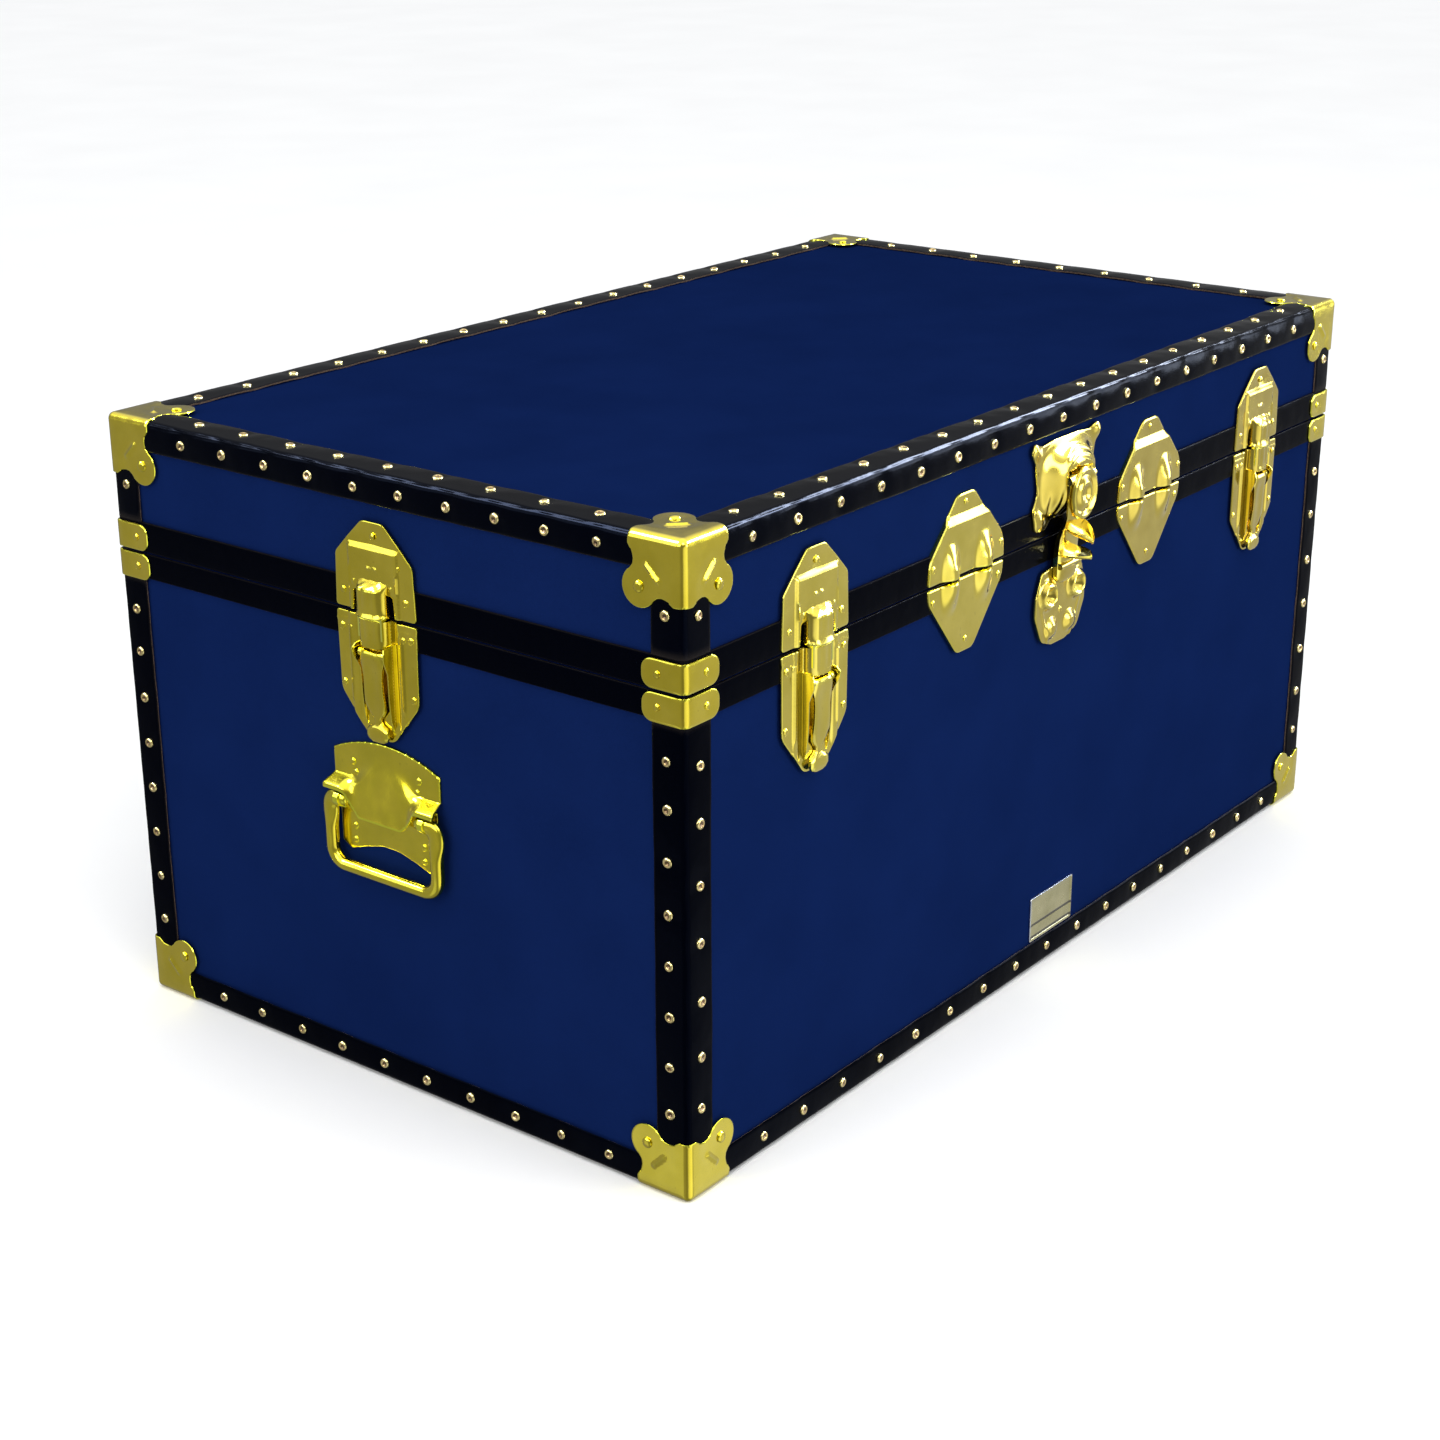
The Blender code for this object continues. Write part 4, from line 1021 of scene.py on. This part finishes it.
def dowels():
    up = symmetric((11, 60.5, 10.5), (30, 39, 30), (48.5, 19, 24), (50, 1.2, 2))
    down = symmetric((50, -1.4, 2), (48.5, -13, 26), (11, -58.5, 10.5))
    lid = [stamped(up, dowel_lid_height, -2.3, 1.6, step=1.1, rim=1.5)]
    base = [stamped(down, bulges, 0.1, 1.5, step=1.1, rim=1.3)]
    lid += [*nails([(0, 52.5)], -0.9), *nails(pairs((45, 13)), 1.7)]
    base += nails([*pairs((43, -11.5)), (0, -49.5)], 1.4)
    parts = (("upper", joined(lid), "lid"), ("lower", joined(base), "base"))
    # the right plates are in the darker brass copy, as painted shade
    for side, along, lit_or_shaded_brass in (("left", -134, BRASS), ("right", 134, SHADED_WARM_BRASS)):
        place = on_face("front", along * MM, SEAM)
        for part, mesh, body in parts:
            node = f"dowel_{side}_{body}_plate"
            piece(f"locating_{side}_{part}", mesh, body, lit_or_shaded_brass, [node], place)


# Lock


def lock_lid_height(x, z):
    """A domed housing on the plate, with ridges round its upper right and soft lobes below."""
    side = np.abs(x)
    shape = (np.abs((x - 1) / 41) ** 2.8 + np.abs((z - 42) / 33) ** 2.8) ** 0.36
    dome = 12.4 * fall(shape, 0.42, 1.0)
    spread = np.hypot(x - 3, z - 34)
    upper_right = smooth((x + z - 37) / np.maximum(spread, 1), 0.0, 0.6)
    ridges = sum(1.2 * bell(spread - r, 1.2) for r in (23.0, 27.5, 32.0)) * upper_right
    flutes = 0.8 * np.cos(0.8 * x) * smooth(-x, 2, 8) * fall(z, 28, 42) * smooth(dome, 0.5, 4)
    lobes = 2.4 * bell(side - 36, 8) * bell(z - 15, 8)
    ears = 2.6 * bell(side - 44, 5) * bell(z - 70, 5)
    # a hollow above the clasp's pivot, where the top of its medallion swings in
    rise = 20 * np.sqrt(np.clip(1 - ((x - 1) / 18.5) ** 2, 0, 1)) - 12
    room = 12.4 - np.maximum(rise, 3 * fall(side, 15.0, 18.0))
    hollow = smooth(z, 40.5, 43.0) * fall(z, 49.6, 51.4) * fall(side, 16.5, 18.5)
    total = dome + ridges + flutes + lobes + ears
    return total - np.maximum(total - room, 0) * hollow


def lock_lid_meshes():
    outline = symmetric(
        (20, 74, 12), (34, 72.5, 6), (46, 76.5, 4), (50, 69, 4), (43, 60, 8), (39, 36, 10),
        (45, 25, 6), (42, 7, 7), (26, 7, 7), (19, 14, 4),
    )
    body = stamped(outline, lock_lid_height, step=1.1, rim=1.0)
    return [body, *nails(pairs((43, 22), (38, 11), (44, 69)), 1.8)]


def lock_base_height(x, z):
    """Two ringed bosses with sunk eyes, two low domes, and a soft edge."""
    side = np.abs(x)
    ring = np.hypot(side - 20.5, z + 46)
    bosses = 4.8 * bell(ring - 8.2, 3.0) - 3.2 * bell(ring, 3.0)
    domes = 3.4 * fall(np.hypot(side - 13.5, z + 74), 2, 10.5)
    crease = 0.8 * bell(side - 26 - 0.4 * (z + 62), 1.6) * fall(z, -60, -54)
    return 0.9 * smooth(z, -88, -78) + bosses + domes + crease


def lock_base_meshes():
    outline = symmetric(
        (14, -25, 5), (28, -27, 5), (36, -46, 10), (36.5, -62, 12), (26, -83, 12), (10, -88.5, 10)
    )
    return [stamped(outline, lock_base_height, step=1.0, rim=1.1), *nails([(0, -62)], 1.9)]


def leaf(top, droop, reach, half, edge):
    """A leaf-shaped lip standing out of the clasp, troughed along its middle."""
    rings = []
    for t in np.linspace(0, 1, 12):
        out = 7.5 + (reach - 7.5) * t
        wide = half * (1 - 0.93 * t**2.4) + 0.3
        level = top - droop * t + edge * (1 - 0.55 * t) * np.abs(ACROSS) ** 2.2
        rings.append(bar_ring(wide, (out, level), (out, level - 1.6), 0.94))
    return loft(rings)


def hasp_meshes():
    """The clasp: a strap bent in towards the face, an oval medallion, and two open lips."""
    # z, half width, front, depth
    stations = [
        (47.0, 14.5, 16.2, 1.2), (46.0, 16.2, 16.8, 1.9), (40, 17.2, 17.0, 2.2), (26, 18.0, 16.8, 2.2),
        (16, 17.6, 16.2, 2.6), (10, 16.0, 14.4, 3.6), (4, 14.7, 11.8, 5.0), (-3, 14.2, 9.9, 6.0),
        (-12, 14.3, 9.2, 6.4), (-24, 14.6, 8.9, 6.3), (-31, 14.6, 8.8, 6.0), (-35, 13.4, 8.5, 5.2),
        (-37.6, 10.5, 7.6, 3.8), (-38.6, 7.0, 6.6, 2.2),
    ]
    rings = []
    for z, half, front, depth in stations:
        face = front - 0.28 * depth * np.abs(ACROSS) ** 5 - 0.5 * ACROSS**2
        rings.append(bar_ring(half, (face, z), (front - depth, z)))
    medallion = [
        (0.9, 16.2), (1.0, 16.8), (1.02, 18.0), (0.97, 19.4), (0.88, 19.9), (0.80, 19.2), (0.72, 18.0),
        (0.62, 18.2), (0.52, 19.6), (0.40, 20.4), (0.30, 19.9), (0.22, 18.6), (0.06, 18.2),
    ]
    lips = [leaf(3.0, 7.0, 28.0, 14.6, 7.0), leaf(-18.0, -1.5, 27.0, 14.6, 4.0)]
    upper, lower = roller(centred(18), 3.6, 14.5, 44), roller(centred(14.2), 2.6, 8.4, -24)
    return [loft(rings), turned(medallion, 32, (1, 32), (17.5, 20)), upper, *lips, lower]


def lock():
    place = on_face("front", 0, SEAM)
    for name, meshes, body, node, edge in (
        ("lock_upper", lock_lid_meshes(), "lid", "lock_lid_plate", 0.0),
        ("lock_lower", lock_base_meshes(), "base", "lock_base_plate", 0.0),
        ("lock_clasp", hasp_meshes(), "hasp", "lock_hasp", 0.2),
    ):
        # the whole lock is in the darker brass copy, as painted shade
        piece(name, joined(meshes), body, SHADED_WARM_BRASS, [node], place, edge)


# End handles. Heights are from the bail's axis.

BAIL_OUT = 5.2


def hood_fold(x, out, s):
    """The sheet's sides fold out sharply and hang again; its middle swells out slowly."""
    path = np.linspace(48, -14, 249)
    step = path[0] - path[1]
    sides = np.radians(62 * fall(path, 16.2, 17.6) - 50 * fall(path, 4.0, 5.2))
    middle = np.radians(12 * fall(path, 24, 46)) + np.radians(14 * bell(path + 12, 2.5))
    begin = np.interp(s, (12, 40), (24, 0))
    share = fall(np.abs(x), begin, begin + 14)
    reach = height = 0
    for angle, weight in ((sides, 1 - share), (middle, share)):
        reach = reach + weight * np.interp(-s, -path, np.cumsum(np.sin(angle)) * step)
        height = height + weight * np.interp(-s, -path, path[0] - np.cumsum(np.cos(angle)) * step)
    return np.stack([x, -(out + reach), height], 1)


def handle_plate_meshes():
    """The upper sheet, folded out over the bail's ends with a hood in the middle, and its back."""
    shoulder = [(51.5, 17, 1), (51.5, 29, 2)]
    foot = [(53.5, 4, 1.5), (53.0, 0.8, 1.5), (34, 0.8, 2), (21, -11, 3)]
    outline = [*shoulder, *[(x, z, 0.5) for x, z in arc((0, -68), 115.5, 63.5, 116.5, 16)]]
    outline += [(-x, z, radius) for x, z, radius in [*shoulder[::-1], *foot]]
    body = stamped(
        rounded(outline + foot[::-1], 3), lambda x, z: 0, -1.7, 1.5, rim=1.3, place=hood_fold,
        creases=both_sides(((37, 17), (53, 17), 0.9), ((35, 4.6), (53, 4.6), 0.8)),
    )
    low = symmetric((47.5, 8, 1), (47.5, -36, 3), (39, -41, 5), (25, -36, 12), (8, -31.5, 25))
    meshes = [body, stamped(low, lambda x, z: 0.6 * bell(z + 9, 1.5), -1.9, 1.2, step=1.6, rim=0.8)]
    for side in (-1, 1):
        meshes.append(roller(side * np.linspace(39, 43.5, 4), 6.2, BAIL_OUT, 0, 20))
        strap = ((39, 12), (43.5, 12), (43.5, -8), (39, -8))
        meshes.append(loft([[(side * x, -out, z) for x, z in strap] for out in (1.2, 3.4)]))
    upper, lower = pairs((32, 28.5), (30, 19.5)), pairs((34, -21.5), (34, -32.5))
    return meshes + nails(upper, -0.3) + nails(lower, -0.7)


def bail_mesh():
    """The bail: a round rod whose upper ends are flattened paddles that turn in to the pins."""
    bend, turn = 13, 9
    low, half, pin = -51.5, 51.5, 35.5
    right = [(33.0, 0), (33.6, 0), (pin, 0), (38.5, 0), (41, 0), *arc((half - turn, -turn), turn, 90, 0, 7)]
    right += [(half, z) for z in np.linspace(-turn - 3, low + bend + 3, 9)]
    right += arc((half - bend, low + bend), bend, 0, -90, 9)
    middle = [(x, low) for x in np.linspace(half - bend - 3, -half + bend + 3, 14)]
    plane = right + middle + [(-x, z) for x, z in reversed(right)]
    radii = []
    for x, z in plane:
        flare = float(smooth(z, -26, -10)) * float(smooth(abs(x), 43, 49))
        past_pin = max(0.0, pin - abs(x)) if z > -1 else 0.0
        round_end = math.sqrt(max(0.25**2, 1 - (past_pin / 2.6) ** 2))
        facet = 0.35 * math.exp(-((math.hypot(abs(x) - 47.5, z + 47.5) / 4) ** 2))
        thin = 4.6 + 0.3 * (1 - flare)
        radii.append(((thin + 2.6 * flare + facet) * round_end, (thin - 0.9 * flare) * round_end))
    return tube([(x, -BAIL_OUT, z) for x, z in plane], radii)


def handles():
    plate, bail = joined(handle_plate_meshes()), bail_mesh()
    for side in ("left", "right"):
        place = on_face(side, 0, JOINTS[f"bail_{side}_swing"]["pos_m"][2])
        for part, mesh, body, edge in (("plate", plate, "base", 0.2), ("bail", bail, f"bail_{side}", 0.0)):
            node = f"handle_{side}_{part}"
            piece(f"{side}_handle_{part}", mesh, body, HANDLE_BRASS, [node], place, edge)


# Label

LABEL_LINES = (-5, -15.5)  # mm, two sunk lines across the lower half


def label():
    low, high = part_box("label_plate")
    middle = (low + high) / 2
    half_x, half_z = (high.x - low.x) / 2 / MM, (high.z - low.z) / 2 / MM

    def height(x, z):
        edge = np.minimum(half_x - np.abs(x), half_z - np.abs(z))
        lines = sum(bell(z - level, 1.1) for level in LABEL_LINES)
        return 0.45 * fall(edge, 2.0, 2.8) - 0.45 * lines * smooth(edge, 0.8, 1.6)

    rows = [((-half_x + 2, level), (half_x - 2, level), 1.1) for level in LABEL_LINES]
    outline = symmetric((half_x, half_z, 2), (half_x, -half_z, 2))
    mesh = stamped(outline, height, -1.9, 0.8, 1.0, rim=0.6, creases=rows)
    for polygon in mesh.polygons:
        x, z = polygon.center.x / MM, polygon.center.z / MM
        # the outermost rim faces take the pale painted highlight
        if min(half_x - abs(x), half_z - abs(z)) < 0.7:
            polygon.material_index = 1
        elif min(abs(z - level) for level in LABEL_LINES) < 1.15:
            polygon.material_index = 2
    place = on_face("front", middle.x - MIDDLE.x, middle.z)
    piece("label_sheet", mesh, "base", LABEL_METALS_AND_RIM_HIGHLIGHT, ["label_plate"], place)


# What stays as it is in the frame, and the lining

WALL_GAP, LINING_EDGE = 0.1 * MM, 1.5 * MM


def carried_over():
    """Gives the boards, the hinges and the bolts, which are the frame's own solids, their looks."""
    for name, node in frame["nodes"].items():
        if name.startswith(("base_", "lid_")) and not node.hide_render:
            metal, edge = COVERING, 0.6
        elif name.startswith("hinge_"):
            metal, edge = HINGE_BRASS, 0.3
        elif name.endswith("_bolt"):
            metal, edge = BRASS, 0.0
        else:
            continue
        node.data.materials.clear()
        node.data.materials.append(metal)
        if edge:
            soften(node, edge)


def box_lining(body, low, high, flat):
    """Lining paper, 0.4 mm thick, on four walls and on the flat board with those corners."""
    plan = ((low.x, low.y), (high.x, low.y), (high.x, high.y), (low.x, high.y))
    faces = [(0, 1, 5, 4), (1, 2, 6, 5), (2, 3, 7, 6), (3, 0, 4, 7), flat]
    bm = bmesh.new()
    add_faces(bm, [(x, y, z) for z in (low.z, high.z) for x, y in plan], faces)
    bmesh.ops.recalc_face_normals(bm, faces=bm.faces)
    folds = [e for e in bm.edges if len(e.link_faces) == 2]
    bmesh.ops.bevel(bm, geom=folds, offset=4 * MM, segments=3, profile=0.5, affect="EDGES")
    piece(f"{body}_lining", solid(finished(bm), 0.4), body, LINING)


def linings():
    walls = {name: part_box(f"base_{name}") for name in ("left", "right", "front", "back", "floor")}
    low_x, high_x = walls["left"][1].x + WALL_GAP, walls["right"][0].x - WALL_GAP
    low_y, high_y = walls["front"][1].y + WALL_GAP, walls["back"][0].y - WALL_GAP
    floor, rim = walls["floor"][1].z + WALL_GAP, walls["front"][1].z - LINING_EDGE
    box_lining("base", Vector((low_x, low_y, floor)), Vector((high_x, high_y, rim)), (0, 1, 2, 3))
    rim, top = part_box("lid_rim")[0].z + LINING_EDGE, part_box("lid_top")[0].z - WALL_GAP
    box_lining("lid", Vector((low_x, low_y, rim)), Vector((high_x, high_y, top)), (4, 5, 6, 7))


def hinge_nails():
    for side, along in (("left", 290), ("right", -290)):
        place = on_face("back", along * MM, SEAM)
        for body, sign in (("lid", 1), ("base", -1)):
            spots = [(x, sign * z) for x, z in [(0, 42), *pairs((22, 26), (27, 10))]]
            mesh = joined(nails(spots, 1.7))
            piece(f"hinge_{side}_{body}_nails", mesh, body, NAIL_GOLD, place=place)


# Studio

# The camera that was fitted to the photo: a rotation vector and a place from the box's middle (m)
CAMERA_TURN = Vector((1.7790552, -0.8755640, 0.5996862))
CAMERA_AT = Vector((-1.6198411, -1.1963628, 0.9143888))
LENS, SENSOR = 63.766, 36

# How much brighter the room is towards each direction: the direction, the cosines between
# which the rise happens, and the rise.
ROOM = (
    ((0.0, 0.0, 1.0), 0.25, 0.95, 1.25),
    ((0.75, -0.6, -0.2), 0.2, 0.8, 0.29),
    ((-0.15, -0.9, -0.4), 0.78, 0.97, 0.75),
    ((-0.75, 0.55, -0.35), 0.5, 0.9, 0.10),
)
ROOM_BASE = 0.22
ROOM_COLOUR = (0.98, 0.99, 1.0)

# Light cards: place, width, height, watts, and whether only polished surfaces see them.
CARDS = {
    "corner": ((-1.2, -1.4, 1.95), 0.9, 0.9, 14, False),
    "right": ((2.25, -1.75, 1.1), 0.9, 2.1, 40, True),
    "right_glint": ((2.2, -1.5, 2.15), 2.2, 0.5, 260, True),
    "left": ((-2.5, 1.75, 1.15), 0.9, 1.3, 8, True),
    "left_glint": ((-1.75, 1.75, 2.6), 1.2, 1.0, 110, True),
    "side": ((-3.0, 0.2, 1.5), 2.0, 1.4, 34, False),
    "front": ((0.4, -3.2, 1.1), 1.5, 1.5, 40, False),
    "low_front": ((-0.075, -0.555, -0.175), 0.34, 0.34, 0.10, True),
    "low_left": ((-0.835, 0.02, -0.175), 0.34, 0.34, 0.11, True),
}
CARD_TARGET = Vector((0, 0, 0.25))
DAYLIGHT, SKYLIGHT = (1.0, 0.99, 0.97), (0.78, 0.86, 1.0)


def studio_world():
    """Soft room light: bright overhead, and dim and uneven near the horizon."""
    world = bpy.data.worlds.new("studio")
    n = Nodes(world, "Generated")
    total = ROOM_BASE
    for axis, start, end, strength in ROOM:
        inputs = {0: n.where, 1: Vector(axis).normalized()}
        dot = n.add("VectorMath", inputs, operation="DOT_PRODUCT").outputs["Value"]
        rise = n.ramp(dot, start, end, 0.0, strength, interpolation_type="SMOOTHSTEP")
        total = n.add("Math", {0: total, 1: rise}, operation="ADD").outputs["Value"]
    n.feed(n.tree.nodes["Background"], {"Color": ROOM_COLOUR, "Strength": total})
    return world


def studio():
    bpy.ops.mesh.primitive_plane_add(size=30, location=(0, 0, -0.0002))
    floor = bpy.context.object
    floor.name = "floor"
    floor.data.materials.append(floor_material())
    floor.visible_glossy = False

    camera = bpy.data.cameras.new("camera")
    camera.lens, camera.sensor_width = LENS, SENSOR
    viewer = bpy.data.objects.new("camera", camera)
    bpy.context.scene.collection.objects.link(viewer)
    world_to_camera = Matrix.Rotation(CAMERA_TURN.length, 3, CAMERA_TURN)
    turn = world_to_camera.transposed() @ Matrix.Diagonal((1, -1, -1))
    at = CAMERA_AT + Vector((MIDDLE.x, MIDDLE.y, BOTTOM))
    viewer.matrix_world = Matrix.Translation(at) @ turn.to_4x4()
    bpy.context.scene.camera = viewer

    for name, (at, width, height, watts, glossy_only) in CARDS.items():
        lamp = bpy.data.lights.new(name, "AREA")
        lamp.shape = "RECTANGLE"
        lamp.size, lamp.size_y = width, height
        lamp.energy = watts
        lamp.color = SKYLIGHT if glossy_only else DAYLIGHT
        card = bpy.data.objects.new(name, lamp)
        card.location = at
        card.rotation_mode = "QUATERNION"
        card.rotation_quaternion = (CARD_TARGET - Vector(at)).to_track_quat("-Z", "Y")
        card.visible_camera = False
        card.visible_diffuse = not glossy_only
        bpy.context.scene.collection.objects.link(card)
    bpy.context.scene.world = studio_world()
    bpy.context.scene.view_settings.view_transform = "Standard"


bindings()
closure_bands()
binding_nails()
corner_hardware()
catches()
dowels()
lock()
handles()
label()
carried_over()
linings()
hinge_nails()
studio()
